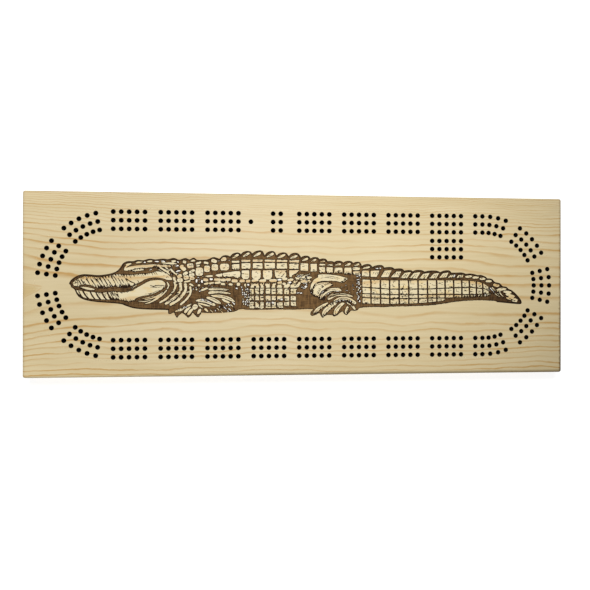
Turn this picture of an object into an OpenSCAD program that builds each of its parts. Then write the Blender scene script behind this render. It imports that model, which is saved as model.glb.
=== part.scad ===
// Three-track cribbage board: a pine plank drilled with 382 peg holes, four stick-on feet, and a peg store in
// the underside with a swinging cover, a magnet strip and nine turned metal pegs.
// Millimetres. +X runs along the board, +Y across it to the back, +Z up. The origin is under the middle of the
// board, on the plane that the feet stand on.
// Name endings: _l length, _w width, _t thickness, _h height, _d diameter, _r radius.

/* [Board] */
// Length of the plank
board_l = 419; // [415:1:460]
// Width of the plank (a nominal six inch board)
board_w = 139.7; // [138:0.1:160]
// Thickness of the plank
board_t = 19; // [18:0.5:25]
// Broken edge all round the plank
edge_break = 1.2; // [0.5:0.1:2]

/* [Peg holes] */
// Diameter of a peg hole
hole_d = 3.2; // [3:0.05:3.6]
// Depth of the parallel part of a peg hole
hole_depth = 9.5; // [7:0.5:10]
// Hole to hole distance along a track
pitch = 5.86; // [5.6:0.01:6]
// Distance between two neighbouring tracks
track_gap = 6.45; // [6.2:0.01:6.6]
// Distance from the middle track's centre line to the long axis
mid_offset = 48.375; // [46:0.005:49.5]
// X of the centre of each end's half circle, left and right
turn_x = 144.3; // [140:0.1:145]
// X of the first hole of the straight rows
first_x = -143.5; // [-143.9:0.1:-143]
// Angle between neighbouring holes round the left turn
step_left = 6.83; // [6.6:0.01:7]
// Angle between neighbouring holes round the right turn
step_right = 6.92; // [6.6:0.01:7]
// Angle of the first hole beside the long axis on the left turn
base_left = 9.05; // [8.5:0.05:10]
// Angle of the first hole after the middle group on the right turn
base_right = 28.6; // [28:0.1:29]

/* [Peg store] */
// Length of the store along the board
store_l = 55; // [54:0.5:56]
// Width of the store across the board
store_w = 31; // [30.5:0.5:33]
// Depth of the store
store_depth = 8; // [7:0.5:9]
// Corner radius that the router leaves
store_r = 4.75; // [3:0.25:5]
// Thickness of the magnet strip
strip_t = 1.0; // [0.8:0.05:1.05]
// Width of the magnet strip
strip_w = 12.7; // [10:0.1:12.8]
// Offset of the strip from the long axis, away from the heads of the pegs
strip_y = -4; // [-5:0.1:-4]

/* [Cover] */
// Thickness of the cover plate
cover_t = 1.2; // [0.8:0.1:1.4]
// Width of the cover plate
cover_w = 42; // [40:1:44]
// Distance from the pivot to the cover's far end
cover_reach = 75; // [74:0.5:78]
// Distance from the pivot to the cover's near end
cover_tail = 7.5; // [7:0.5:8]
// X of the pivot screw
pivot_x = 36; // [35.5:0.5:38]
// Position of the keeper screw
keeper = [-33.5, -13];
// Shoulder diameter of the cover screws
shoulder_d = 4; // [3.8:0.1:4.2]
// Radial clearance between the shoulder and the cover's hole
pivot_clear = 0.05; // [0.02:0.01:0.09]

/* [Pegs] */
// Overall length of a peg
peg_l = 27; // [26:0.5:28]
// Diameter of a peg's head
peg_head_d = 5; // [4.8:0.1:5.2]
// Diameter of the shank below the head
peg_shank_d = 3.05; // [2.9:0.01:3.1]
// Diameter of the shank at its tip
peg_tip_d = 2.5; // [2.2:0.1:2.7]
// Spacing of the pegs in the store
peg_step = 5.8; // [5.4:0.1:5.9]

/* [Feet] */
// Height of a foot
foot_h = 5; // [4.8:0.1:7]
// Diameter of a foot where it meets the board
foot_d = 12.7; // [10:0.1:16]
// Position of the feet from the middle, along and across
foot_at = [194, 55];

/* [Hidden] */

gold = [0.83, 0.66, 0.30];
silver = [0.78, 0.79, 0.80];
black = [0.06, 0.06, 0.065];
pine = [0.86, 0.76, 0.58];
cover_brass = [0.80, 0.68, 0.38];
magnet_grey = [0.16, 0.15, 0.15];
foot_grey = [0.12, 0.12, 0.12];

over = 1;          // how far a cut runs past the face it opens
face_gap = 0.01;   // gap that keeps touching pieces apart
board_bottom = foot_h;
board_top = board_bottom + board_t;
store_floor = board_bottom + store_depth;   // upper face of the store
pivot_at = [pivot_x, 0];
washer_t = 0.5;
washer_play = 0.02;                         // between washer and cover
cover_z = board_bottom - washer_t - washer_play - cover_t;   // lower face of the cover

// ---- hole layout: slots count pitches along the straights, tracks are 0 inner, 1 middle, 2 outer ----

drill_tip_h = 0.9;
group_size = 5;
group_slots = 6;                     // a group of five and the space after it
top_groups = [0, 1, 2, 4, 5, 6, 7];  // the start and finish holes take the place of group 3
bottom_groups = [0:7];
finish_slot = 17.62;
start_slots = [20.54, 21.54];
tally_group = 7;
tally_drop = 3.08;                   // outer track to the first tally row, in track gaps

function offset_of(track) = mid_offset + (track - 1) * track_gap;
function slot_x(slot) = first_x + slot * pitch;
function group_xs(groups) =
    [for (group = groups) for (i = [0:group_size - 1]) slot_x(group_slots * group + i)];

left_angles = [for (i = [0, 1, 2, 3, 4, 6, 7, 8, 9, 10]) base_left + i * step_left];
right_angles = [for (i = [0, 1, 2, 3, 4, 6, 7, 8]) base_right + i * step_right];

// A hole on an end's half circle: end is -1 left or 1 right, side is -1 front or 1 back
function turn_hole(end, side, angle, track) = [
    end * (turn_x + offset_of(track) * cos(angle)),
    side * offset_of(track) * sin(angle)
];

track_holes = [
    for (track = [0:2]) each concat(
        [for (x = group_xs(top_groups)) [x, offset_of(track)]],
        [for (x = group_xs(bottom_groups)) [x, -offset_of(track)]],
        [for (side = [1, -1]) for (slot = [48, 49]) [slot_x(slot), side * offset_of(track)]],
        [for (side = [1, -1]) for (angle = left_angles) turn_hole(-1, side, angle, track)],
        [for (side = [1, -1]) for (angle = right_angles) turn_hole(1, side, angle, track)],
        [for (i = [-2:2]) turn_hole(1, 1, i * step_right, track)]
    )
];
finish_hole = [slot_x(finish_slot), offset_of(1)];
start_holes = [for (track = [0:2]) for (slot = start_slots) [slot_x(slot), offset_of(track)]];
tally_holes = [
    for (row = [0:2]) for (x = group_xs([tally_group])) [x, offset_of(2) - (tally_drop + row) * track_gap]
];
all_holes = concat(track_holes, [finish_hole], start_holes, tally_holes);

// ---- flat shapes ----

module round_rect(length, width, radius) {
    square([length - 2 * radius, width], center = true);
    square([length, width - 2 * radius], center = true);
    for (x = [-1, 1], y = [-1, 1])
        translate([x * (length / 2 - radius), y * (width / 2 - radius)]) circle(r = radius, $fn = 48);
}

// A rectangle with its corners cut off at 45 degrees
module cut_rect(length, width, cut) {
    x = length / 2;
    y = width / 2;
    polygon([
        [-x + cut, -y], [x - cut, -y], [x, -y + cut], [x, y - cut],
        [x - cut, y], [-x + cut, y], [-x, y - cut], [-x, -y + cut]
    ]);
}

// ---- board ----

// The plank before drilling: one chamfered prism along each axis
module blank() {
    mid_z = board_bottom + board_t / 2;
    intersection() {
        translate([0, 0, board_bottom]) linear_extrude(board_t) cut_rect(board_l, board_w, edge_break);
        translate([0, board_w / 2 + over, mid_z]) rotate([90, 0, 0])
            linear_extrude(board_w + 2 * over) cut_rect(board_l, board_t, edge_break);
        translate([-board_l / 2 - over, 0, mid_z]) rotate([90, 0, 90])
            linear_extrude(board_l + 2 * over) cut_rect(board_w, board_t, edge_break);
    }
}

// A hole from the top face, with the drill's cone at its end
module peg_hole(at) {
    bottom = board_top - hole_depth;
    translate([at.x, at.y, bottom]) cylinder(d = hole_d, h = hole_depth + over, $fn = 32);
    translate([at.x, at.y, bottom - drill_tip_h]) cylinder(d1 = 0, d2 = hole_d, h = drill_tip_h, $fn = 32);
}

shoulder_sink = 2;   // how far a cover screw's shoulder enters the board
pilot_d = 3.1;
pilot_depth = 11.5;
pilot_clear = 0.2;   // round the shoulder, on diameter, and past its end

// Stepped hole for a cover screw, from the underside
module pilot(at) {
    translate([at.x, at.y, board_bottom - over])
        cylinder(d = shoulder_d + pilot_clear, h = over + shoulder_sink + pilot_clear, $fn = 32);
    translate([at.x, at.y, board_bottom]) cylinder(d = pilot_d, h = pilot_depth, $fn = 32);
}

module board() {
    color(pine) difference() {
        blank();
        for (at = all_holes) peg_hole(at);
        translate([0, 0, board_bottom - over])
            linear_extrude(store_depth + over) round_rect(store_l, store_w, store_r);
        pilot(pivot_at);
        pilot(keeper);
    }
}

// ---- magnet strip: on the floor of the store, which is its upper face while the board lies face up ----

strip_end_gap = 1.2;

module magnet_strip() {
    color(magnet_grey) translate([0, strip_y, store_floor - strip_t / 2])
        cube([store_l - 2 * strip_end_gap, strip_w, strip_t - 2 * face_gap], center = true);
}

// ---- cover screws and washer ----

pivot_play = 0.03;    // between the cover and each screw's head
keeper_play = 0.12;
head_h = 2.1;
head_r = 3.9;
head_flat_r = 1.6;    // flat middle of the head
head_curve_h = 1.3;   // height of the curve from the flat to the rim
head_rim_h = 0.5;
cross_l = 3.6;        // driver slots
cross_w = 0.75;
cross_depth = 1.1;
cross_turn = 20;
thread_pitch = 1.2;
thread_turns = 7;
root_r = 1.15;
crest_r = 1.5;

// Head profile, its bearing face at z = 0
head_profile = concat(
    [[0, -head_h], [head_flat_r, -head_h]],
    [for (angle = [10:10:80]) [
        head_flat_r + (head_r - head_flat_r) * sin(angle),
        -head_h + head_curve_h * (1 - cos(angle))
    ]],
    [[head_r, -head_rim_h], [head_r, 0], [0, 0]]
);

// Thread drawn as plain ridges, starting inside the shoulder and ending in a point
function thread_profile(start) = concat(
    [[0, start - 1]],
    [for (i = [0:thread_turns - 1]) let (z = start + i * thread_pitch) each
        [[root_r, z], [crest_r, z + 0.35], [crest_r, z + 0.45], [root_r, z + 0.8]]],
    [[0.9, start + thread_turns * thread_pitch], [0, start + 9.2]]
);

// Pan head screw standing head down, with the head's bearing face at bearing_z
module cover_screw(at, bearing_z) {
    shoulder_h = board_bottom - bearing_z + shoulder_sink;
    color(gold) translate([at.x, at.y, bearing_z]) difference() {
        union() {
            rotate_extrude($fn = 64) polygon(head_profile);
            cylinder(d = shoulder_d, h = shoulder_h, $fn = 48);
            rotate_extrude($fn = 48) polygon(thread_profile(shoulder_h));
        }
        for (angle = [0, 90]) rotate([0, 0, angle + cross_turn]) translate([0, 0, -head_h])
            cube([cross_l, cross_w, 2 * cross_depth], center = true);
    }
}

module pivot_screw() { cover_screw(pivot_at, cover_z - pivot_play); }
module keeper_screw() { cover_screw(keeper, cover_z - keeper_play); }

washer_d = 9;
washer_clear = 0.1;   // round the shoulder, on diameter

module pivot_washer() {
    color(gold) translate([pivot_x, 0, board_bottom - washer_t]) difference() {
        cylinder(d = washer_d, h = washer_t - face_gap, $fn = 64);
        translate([0, 0, -over]) cylinder(d = shoulder_d + washer_clear, h = washer_t + 2 * over, $fn = 48);
    }
}

// ---- cover ----

cover_r = 5;                        // corner radius
tab_r = 5.5;
tab_y = 6;
tab_hole_r = 2.4;
keeper_slot_w = shoulder_d + 0.5;
keeper_sweep = 12;                  // angle of the keeper's slot, which runs out through the long edge

// The cover drawn closed, pivot at the origin, reaching towards -X
module cover_closed() {
    arm = keeper - pivot_at;
    cut_h = cover_t + 2 * over;
    difference() {
        union() {
            translate([(cover_tail - cover_reach) / 2, 0])
                linear_extrude(cover_t) round_rect(cover_reach + cover_tail, cover_w, cover_r);
            // Thumb tab on the far end, to the side that swings out
            translate([-cover_reach, tab_y, 0]) cylinder(r = tab_r, h = cover_t, $fn = 64);
        }
        translate([0, 0, -over]) cylinder(r = shoulder_d / 2 + pivot_clear, h = cut_h, $fn = 64);
        // Arc slot that the keeper runs in as the cover swings, and its round end
        translate([0, 0, -over]) rotate([0, 0, atan2(arm.y, arm.x)])
            rotate_extrude(angle = keeper_sweep, $fn = 96)
                translate([norm(arm) - keeper_slot_w / 2, 0]) square([keeper_slot_w, cut_h]);
        translate([arm.x, arm.y, -over]) cylinder(d = keeper_slot_w, h = cut_h, $fn = 48);
        // Thumb hole in the tab
        translate([-cover_reach, tab_y, -over]) cylinder(r = tab_hole_r, h = cut_h, $fn = 48);
    }
}

// At rest the cover stands open, half a turn from closed
module store_cover() {
    color(cover_brass) translate([pivot_x, 0, cover_z]) rotate([0, 0, 180]) cover_closed();
}

// ---- pegs ----

peg_play = 0.03;     // between a peg's head and the store's floor
waist_r = 1.35;      // waist between the head's collar and its dome
waist_depth = 0.75;
dome_h = 2.6;

// Radius and height of a peg's outline, from the tip up
function peg_profile() = let (shank = peg_shank_d / 2, tip = peg_tip_d / 2, head = peg_head_d / 2) concat(
    [[0, 0], [tip - 0.5, 0], [tip - 0.15, 0.15], [tip, 0.5]],
    [[shank, peg_l - 9.5], [shank, peg_l - 9]],
    // Collar
    [[head - 0.25, peg_l - 8.75], [head, peg_l - 8.5], [head, peg_l - 7.9], [head - 0.25, peg_l - 7.65]],
    [for (i = [0:8]) [waist_r + waist_depth * (1 - sin(i * 22.5)), peg_l - 7.4 + i * 0.4]],
    [[head - 0.2, peg_l - 4], [head, peg_l - 3.75], [head, peg_l - dome_h]],
    [for (angle = [10:10:80]) [head * cos(angle), peg_l - dome_h + dome_h * sin(angle)]],
    [[0, peg_l]]
);

// A peg lying in the store, head to the back; place runs 0 to 8 from the left
module peg(place, metal) {
    color(metal) translate([(place - 4) * peg_step, -peg_l / 2, store_floor - peg_head_d / 2 - peg_play])
        rotate([-90, 0, 0]) rotate_extrude($fn = 48) polygon(peg_profile());
}

// ---- feet ----

foot_bevel_h = 0.6;
foot_waist_d = foot_d - 3;     // above the bevel
foot_base_d = foot_d - 4.2;
dish_d = 4;
dish_depth = 0.5;

module foot(side_x, side_y) {
    color(foot_grey) translate([side_x * foot_at.x, side_y * foot_at.y, 0]) difference() {
        union() {
            translate([0, 0, foot_bevel_h])
                cylinder(d1 = foot_waist_d, d2 = foot_d, h = foot_h - foot_bevel_h - face_gap, $fn = 64);
            cylinder(d1 = foot_base_d, d2 = foot_waist_d, h = foot_bevel_h, $fn = 64);
        }
        // Dished middle, so that the foot bears on a ring
        translate([0, 0, -over]) cylinder(d = dish_d, h = over + dish_depth, $fn = 48);
    }
}

board();
magnet_strip();
store_cover();
pivot_screw();
pivot_washer();
keeper_screw();
peg(0, gold);  // peg_gold_1
peg(1, gold);  // peg_gold_2
peg(2, gold);  // peg_gold_3
peg(3, silver);  // peg_silver_1
peg(4, silver);  // peg_silver_2
peg(5, silver);  // peg_silver_3
peg(6, black);  // peg_black_1
peg(7, black);  // peg_black_2
peg(8, black);  // peg_black_3
foot(-1, -1);  // foot_front_left
foot(1, -1);  // foot_front_right
foot(-1, 1);  // foot_back_left
foot(1, 1);  // foot_back_right
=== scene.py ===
"""Looks for a cribbage board: a pine plank with a burned-in drawing and bored peg holes, and
finishes for the hardware under it. X runs along the board, Y across it from front to back and
Z up. Board sizes are in millimetres."""
import math
import random

import bpy
import numpy as np
from mathutils import Matrix, Vector
from mathutils.geometry import delaunay_2d_cdt


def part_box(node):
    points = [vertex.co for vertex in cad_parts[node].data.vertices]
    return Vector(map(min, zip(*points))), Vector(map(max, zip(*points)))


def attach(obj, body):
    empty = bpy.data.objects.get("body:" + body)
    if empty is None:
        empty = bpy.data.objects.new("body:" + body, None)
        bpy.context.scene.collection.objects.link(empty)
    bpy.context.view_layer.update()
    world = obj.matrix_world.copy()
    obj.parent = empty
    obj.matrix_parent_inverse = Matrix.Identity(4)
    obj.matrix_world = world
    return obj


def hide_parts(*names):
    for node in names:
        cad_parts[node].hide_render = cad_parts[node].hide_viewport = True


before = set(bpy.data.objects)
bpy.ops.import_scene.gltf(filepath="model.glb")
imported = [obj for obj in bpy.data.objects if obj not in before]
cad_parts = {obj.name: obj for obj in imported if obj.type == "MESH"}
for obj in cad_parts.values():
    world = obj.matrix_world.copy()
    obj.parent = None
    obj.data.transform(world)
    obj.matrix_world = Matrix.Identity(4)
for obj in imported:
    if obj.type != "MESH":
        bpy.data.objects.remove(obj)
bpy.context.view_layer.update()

low_corner, high_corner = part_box("board")
LENGTH = (high_corner.x - low_corner.x) * 1000
WIDTH = (high_corner.y - low_corner.y) * 1000
BASE, TOP = low_corner.z * 1000, high_corner.z * 1000

# peg holes
PITCH = 5.86            # along a track
TRACK_GAP = 6.45        # between tracks
MIDDLE_TRACK = 48.375   # middle of three tracks, from the board's centre line
TURN_X = 144.3          # centres of the curved ends
FIRST_X = -143.5        # first hole of the straights
HOLE_R, HOLE_DEPTH, TIP_DEPTH = 1.6, 9.5, 0.9
RIM, RIM_DEPTH, HOLE_SIDES = 0.29, 0.2, 22

# plank
EDGE_R, CORNER_R, EDGE_STEPS, CORNER_STEPS = 1.5, 1.8, 7, 6
BURN_DEPTH = 0.34
POCKET_LENGTH, POCKET_WIDTH, POCKET_R, POCKET_DEPTH = 55.0, 31.0, 4.75, 8.0
POCKET_MOUTH, POCKET_CHAMFER = 0.35, 0.3
PILOTS = ((36.0, 0.0), (-33.5, -13.0))      # pivot screw, keeper screw
PILOT_R, PILOT_SINK_R, PILOT_SINK_DEPTH, PILOT_DEPTH, PILOT_SIDES = 1.55, 2.1, 2.2, 11.5, 32

# the drawing's grid, in its own sheet units, and its perspective from the grid of holes
SHEET_X0, SHEET_X1, SHEET_Y0, SHEET_Y1, CELL = 66.0, 524.0, 247.0, 321.0, 0.19
HOLES_TO_SHEET = np.array(((8.12464201, -0.125644080, 113.882546),
                           (0.356252951, 8.47508614, 212.311816),
                           (1.22589502e-3, -1.49659019e-4, 1.0)))
SHEET_TO_HOLES = np.linalg.inv(HOLES_TO_SHEET)
CENTRE_COLUMN, CENTRE_ROW = 24.49, 8.5


# ---- tables and lines of the drawing ----------------------------------------------------
def table(text):
    """Rows of numbers: commas inside a row, spaces between rows."""
    return [tuple(map(float, row.split(","))) for row in text.split()]


class Frame:
    """A part of the drawing with its own origin and finer units, of which scale make one."""

    def __init__(self, x, y, scale):
        self.x, self.y, self.scale = x, y, scale

    def __call__(self, path):
        path = table(path) if isinstance(path, str) else path
        return [(self.x + x / self.scale, self.y + y / self.scale) for x, y in path]


plain, tenths = Frame(0, 0, 1), Frame(0, 0, 10)
head, trunk, tail = Frame(60, 240, 8.2526), Frame(240, 240, 9.8), Frame(390, 240, 10.453)


def groups(part, text):
    """Lists of points, parted by semicolons."""
    return [part(group) for group in text.split(";")]


def entries(part, text):
    """Entries of "numbers: points", parted by semicolons."""
    for entry in text.split(";"):
        numbers, path = entry.split(":")
        yield table(numbers)[0], part(path)


def curve(path, closed=False, steps=6):
    """A smooth line through the points."""
    path = np.array(path, float)
    count = len(path)
    if count < 3:
        return path
    out = []
    for i in range(count if closed else count - 1):
        near = range(i - 1, i + 3)
        near = [k % count for k in near] if closed else [min(max(k, 0), count - 1) for k in near]
        a, b, c, d = path[near]
        for t in np.arange(steps) / steps:
            out.append(0.5 * ((2 * b) + (c - a) * t + (2 * a - 5 * b + 4 * c - d) * t * t
                              + (3 * b - 3 * c + d - a) * t ** 3))
    if not closed:
        out.append(path[-1])
    return np.array(out)


def to_segment(x, y, start, end):
    """Distance from grid points to a segment, and how far along it the nearest place is."""
    (ax, ay), (bx, by) = start, end
    dx, dy = bx - ax, by - ay
    t = np.clip(((x - ax) * dx + (y - ay) * dy) / (dx * dx + dy * dy), 0, 1)
    return np.hypot(x - ax - t * dx, y - ay - t * dy), t


def turned(x, y, along, across, angle):
    cos, sin = math.cos(angle), math.sin(angle)
    return x + along * cos - across * sin, y + along * sin + across * cos


class Sheet:
    """A field on a fine grid, positive where the wood is burned."""

    def __init__(self):
        self.x = np.arange(SHEET_X0, SHEET_X1, CELL)
        self.y = np.arange(SHEET_Y0, SHEET_Y1, CELL)
        self.field = np.full((len(self.y), len(self.x)), -5.0)
        self.rng = random.Random(11)

    def window(self, path, pad):
        """The part of the grid within pad of the path: slices, x and y."""
        cuts = []
        for values, first, size in ((path[:, 1], SHEET_Y0, len(self.y)),
                                    (path[:, 0], SHEET_X0, len(self.x))):
            cuts.append(slice(max(int((values.min() - pad - first) / CELL), 0),
                              min(int((values.max() + pad - first) / CELL) + 2, size)))
        return tuple(cuts), self.x[cuts[1]][None, :], self.y[cuts[0]][:, None]

    def shape(self, path, grow=0.0):
        """Signed distance to a closed shape, positive inside, over a window round it."""
        path = np.array(path, float)
        pad = 1.2 + grow
        window, x, y = self.window(path, pad)
        distance = np.full((y.shape[0], x.shape[1]), pad)
        inside = np.zeros(distance.shape, bool)

        def reach(a, b, first):
            return slice(max(int((min(a, b) - pad - first) / CELL), 0),
                         max(int((max(a, b) + pad - first) / CELL) + 2, 0))

        for i in range(len(path)):
            start, end = path[i], path[(i + 1) % len(path)]
            if ((end - start) ** 2).sum() < 1e-12:
                continue
            (ax, ay), (bx, by) = start, end
            columns, rows = reach(ax, bx, x[0, 0]), reach(ay, by, y[0, 0])
            near = to_segment(x[:, columns], y[rows], start, end)[0]
            distance[rows, columns] = np.minimum(distance[rows, columns], near)
            if ay != by:
                first, last = np.searchsorted(y[:, 0], sorted((ay, by)), "left")
                if last > first:
                    crossing = (bx - ax) * (y[first:last] - ay) / (by - ay) + ax
                    inside[first:last] ^= x < crossing
        return window, np.where(inside, distance, -distance) + grow

    def burn(self, path, steps=4):
        window, field = self.shape(curve(path, closed=True, steps=steps))
        self.field[window] = np.maximum(self.field[window], field)

    def clear(self, path, grow=0.0):
        window, field = self.shape(path, grow)
        self.field[window] = np.minimum(self.field[window], -field)

    def clear_curves(self, part, text, steps=4, grow=0.0):
        for path in groups(part, text):
            self.clear(curve(path, closed=True, steps=steps), grow)

    def sweep(self, path, start, end, middle=None, burned=True):
        """A line whose width runs from start, by way of middle, to end."""
        t = np.linspace(0, 1, len(path))
        if middle is None:
            width = start + (end - start) * t
        else:
            width = np.where(t < 0.5, start + (middle - start) * 2 * t,
                             middle + (end - middle) * (2 * t - 1))
        width = width / 2
        window, x, y = self.window(path, width.max() + 0.8)
        field = np.full((y.shape[0], x.shape[1]), -5.0)
        for i in range(len(path) - 1):
            if ((path[i + 1] - path[i]) ** 2).sum() < 1e-9:
                continue
            distance, t = to_segment(x, y, path[i], path[i + 1])
            field = np.maximum(field, width[i] + (width[i + 1] - width[i]) * t - distance)
        if burned:
            self.field[window] = np.maximum(self.field[window], field)
        else:
            self.field[window] = np.minimum(self.field[window], -field)

    def stroke(self, path, start, end, middle=None):
        self.sweep(curve(path), start, end, middle)

    def scrape(self, path, start, end, middle=None):
        """A line left pale inside a burned area."""
        self.sweep(curve(path), start, end, middle, burned=False)

    def strokes(self, part, text):
        """Entries: start, end and middle width."""
        for widths, path in entries(part, text):
            self.stroke(path, *widths)

    def scrapes(self, part, text):
        for widths, path in entries(part, text):
            self.scrape(path, *widths)

    def ticks(self, part, text, burned=True):
        """Short tapering strokes that start along a path.
        Entries: count, length, angle, width, spread of angle, variation of length."""
        uniform = self.rng.uniform
        for (count, longest, angle, width, spread, vary), path in entries(part, text):
            path = curve(path, steps=12)
            run = np.r_[0, np.cumsum(np.hypot(*np.diff(path, axis=0).T))]
            for k in range(int(count)):
                at = (k + uniform(0.15, 0.85)) / count * run[-1]
                x, y = np.interp(at, run, path[:, 0]), np.interp(at, run, path[:, 1])
                lean = math.radians(angle) + uniform(-spread, spread)
                length = longest * (1 - vary * self.rng.random())
                dx, dy = math.cos(lean) * length, math.sin(lean) * length
                bend = uniform(-0.12, 0.12) * length
                size = max(length, 0.1)
                line = [(x, y), (x + dx * 0.5 - dy * bend / size, y + dy * 0.5 + dx * bend / size),
                        (x + dx, y + dy)]
                self.sweep(curve(line), width * uniform(0.7, 1.15), 0.08, burned=burned)

    def flecks(self, part, text, burned=False):
        """Small dashes scattered in a four-sided region. Entries: count, least and greatest
        length, least and greatest width, and perhaps an angle."""
        uniform = self.rng.uniform
        for (count, short, long, thin, thick, *angle), region in entries(part, text):
            (ax, ay), (bx, by), (cx, cy), (dx, dy) = region
            for _ in range(int(count)):
                u, v = self.rng.random(), self.rng.random()
                x = (ax * (1 - u) + bx * u) * (1 - v) + (dx * (1 - u) + cx * u) * v
                y = (ay * (1 - u) + by * u) * (1 - v) + (dy * (1 - u) + cy * u) * v
                lean = math.radians(angle[0] + uniform(-25, 25)) if angle else uniform(0, math.pi)
                half = uniform(short, long) / 2
                dash = [(x - math.cos(lean) * half, y - math.sin(lean) * half),
                        (x + math.cos(lean) * half, y + math.sin(lean) * half)]
                start = uniform(thin, thick)
                self.sweep(curve(dash), start, uniform(thin, thick) * 0.6, burned=burned)

    def blob(self, x, y, a, b, angle, square, marks):
        """A rounded pale plate of half sizes a and b with a few burned marks."""
        uniform = self.rng.uniform
        outline = []
        for u in np.arange(16) * math.pi / 8:
            cos, sin = math.cos(u), math.sin(u)
            along = math.copysign(abs(cos) ** square, cos) * (a + 0.2) + uniform(-0.12, 0.12)
            across = math.copysign(abs(sin) ** square, sin) * (b + 0.2) + uniform(-0.12, 0.12)
            outline.append(turned(x, y, along, across, angle))
        self.clear(outline)
        for _ in range(int(marks)):
            px, py = x + uniform(-0.7, 0.7) * a, y + uniform(-0.7, 0.7) * b
            line = [(px, py), (px + uniform(0.8, 1.8), py + uniform(-0.5, 0.3))]
            self.stroke(line, uniform(0.25, 0.5), 0.15)

    def leaf(self, x, y, a, b, angle, part):
        """A pale leaf shape, broader at one end, with one mark."""
        outline = []
        for u in np.arange(16) * math.pi / 8:
            across = math.sin(u) * b * (0.75 + 0.35 * math.cos(u))
            outline.append(turned(x, y, math.cos(u) * a, across, angle))
        self.clear(part(outline))
        self.stroke(part([(x - a * 0.35, y + b * 0.35), (x + a * 0.25, y - b * 0.15)]), 0.4, 0.1)

    def plate(self, x0, y0, x1, y1, part, lean, r, lines):
        """A pale plate with round, uneven corners and a few burned lines."""
        uniform = self.rng.uniform

        def jitter():
            return uniform(-2.0, 2.0)

        xm, ym = (x0 + x1) / 2, (y0 + y1) / 2
        outline = [(x0 + r + lean + jitter(), y0 + r + jitter()), (xm + lean, y0 + r + jitter()),
                   (x1 - r + lean + jitter(), y0 + r + jitter()),
                   (x1 - r + lean / 2 + jitter(), ym), (x1 - r + jitter(), y1 - r + jitter()),
                   (xm, y1 - r + jitter()), (x0 + r + jitter(), y1 - r + jitter()),
                   (x0 + r + lean / 2 + jitter(), ym)]
        self.clear(part(outline), r / part.scale)
        for _ in range(lines):
            w = uniform(0.15, 0.5) * (x1 - x0)
            px, py = uniform(x0 + 2, x1 - w), uniform(y0 + 5, y1 - 5)
            self.stroke(part([(px, py), (px + w, py + uniform(-3, 3))]), uniform(0.22, 0.5), 0.12)


# ---- the drawing: a reptile facing left ---------------------------------------------------
def humps(text):
    """A row of scutes seen from the side, each given by its start, its top and its end."""
    path, out = table(text), []
    for (ax, ay), (bx, by), (cx, cy) in zip(path[::3], path[1::3], path[2::3]):
        out += [(ax, ay), (ax + 0.42 * (bx - ax), ay + 0.70 * (by - ay)), (bx, by),
                (bx + 0.62 * (cx - bx), by + 0.22 * (cy - by)), (cx, cy)]
    return out


HEAD_TOP = head("""78,362 95,335 140,305 190,292 250,294 310,299 370,294 430,282 475,262 505,230
    525,200 562,184 605,184 640,174 690,176 740,164 790,170 850,163 893,168 940,157 985,172
    1035,158 1072,170 1105,155 1132,172 1190,172 1225,168 1268,150 1300,158 1320,163 1345,140
    1372,134 1396,140 1404,146""")
SPINE = humps("""230.6,257.6 237,253.6 241,255.4 241.4,255.4 247.6,252 252.2,254.4
    252.6,254.8 260.2,251.4 264.3,255.8 265,256.6 271.9,252 276.2,255.8
    276.8,256.8 283.6,253.4 288.3,256.6 289,257.4 295.2,253.8 300.4,257.2
    300.8,259 306.2,256.6 310.4,259 310.8,259.6 315.6,258 319.4,260
    319.8,260.4 323.8,259.4 327.4,262 327.6,262.2 331,262 334,263
    334.4,263.4 338.5,261.6 343.2,263.4 343.6,263.8 348.5,261.7 353.2,263.8
    353.6,264.2 357.8,262.6 361.3,265.6 361.6,267.4 367.8,264.8 371.8,267
    372.3,268 380.2,265.8 384.2,268.2 384.6,268.4 390,267.8 394.4,269.6""")
TAIL = humps("""394.8,269.6 400,269.2 404,271.2 404.3,271.5 409.4,270.8 412.9,272.4
    413.2,272.2 418,270.6 424.4,272.2 424.8,272.4 432.6,271.2 440.2,272.8
    440.8,272.8 447.6,271 451.3,273.2""") + table("""455.6,273.3 462.2,273.2 466.2,274.5
    470,274.2 474.6,274.8 477.6,275.8 481.2,275.6 485.6,277.4 487,278.9 491.4,279.4 494.4,282.3
    496.4,283 499.6,283.8 502.4,286.6 506.2,287.4 508.4,289.4 511.6,290.7 515.6,294.2 519,298
    520.8,301.4 519.6,303""") + tail("""1250,650 1120,638 1000,628 870,628 700,641 600,656
    500,672 400,682 200,690 10,694""")
UNDER = trunk("""1400,656 1300,655 1180,662 1152,682 1085,690 690,676 540,680 350,680 100,684
    0,676""")
THROAT = head("""1440,590 1330,600 1240,600 1190,600 905,575 850,572 700,568 610,560 545,541
    500,525 400,515 300,508 205,492 158,468 132,432 120,408 92,388""")
OUTLINED_TAIL = 48      # points of the tail that get a steady outline


def silhouette(art):
    art.burn(HEAD_TOP + SPINE + TAIL + UNDER + THROAT, steps=3)
    # forefoot and hind foot with claws
    art.burn(head("""905,560 888,600 900,612 925,603 938,600 948,622 962,641 980,620 1005,605
        1030,620 1052,641 1078,622 1092,600 1112,620 1136,638 1156,615 1175,590 1225,602
        1330,598 1440,585 1450,520 1200,480 1020,520"""))
    art.burn(trunk("""760,640 705,690 688,722 705,742 742,730 778,716 790,740 808,760 832,742
        860,734 900,736 925,748 955,732 1000,700 1020,722 1046,733 1072,706 1092,690 1130,692
        1160,672 1150,600 1000,560"""))


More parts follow.
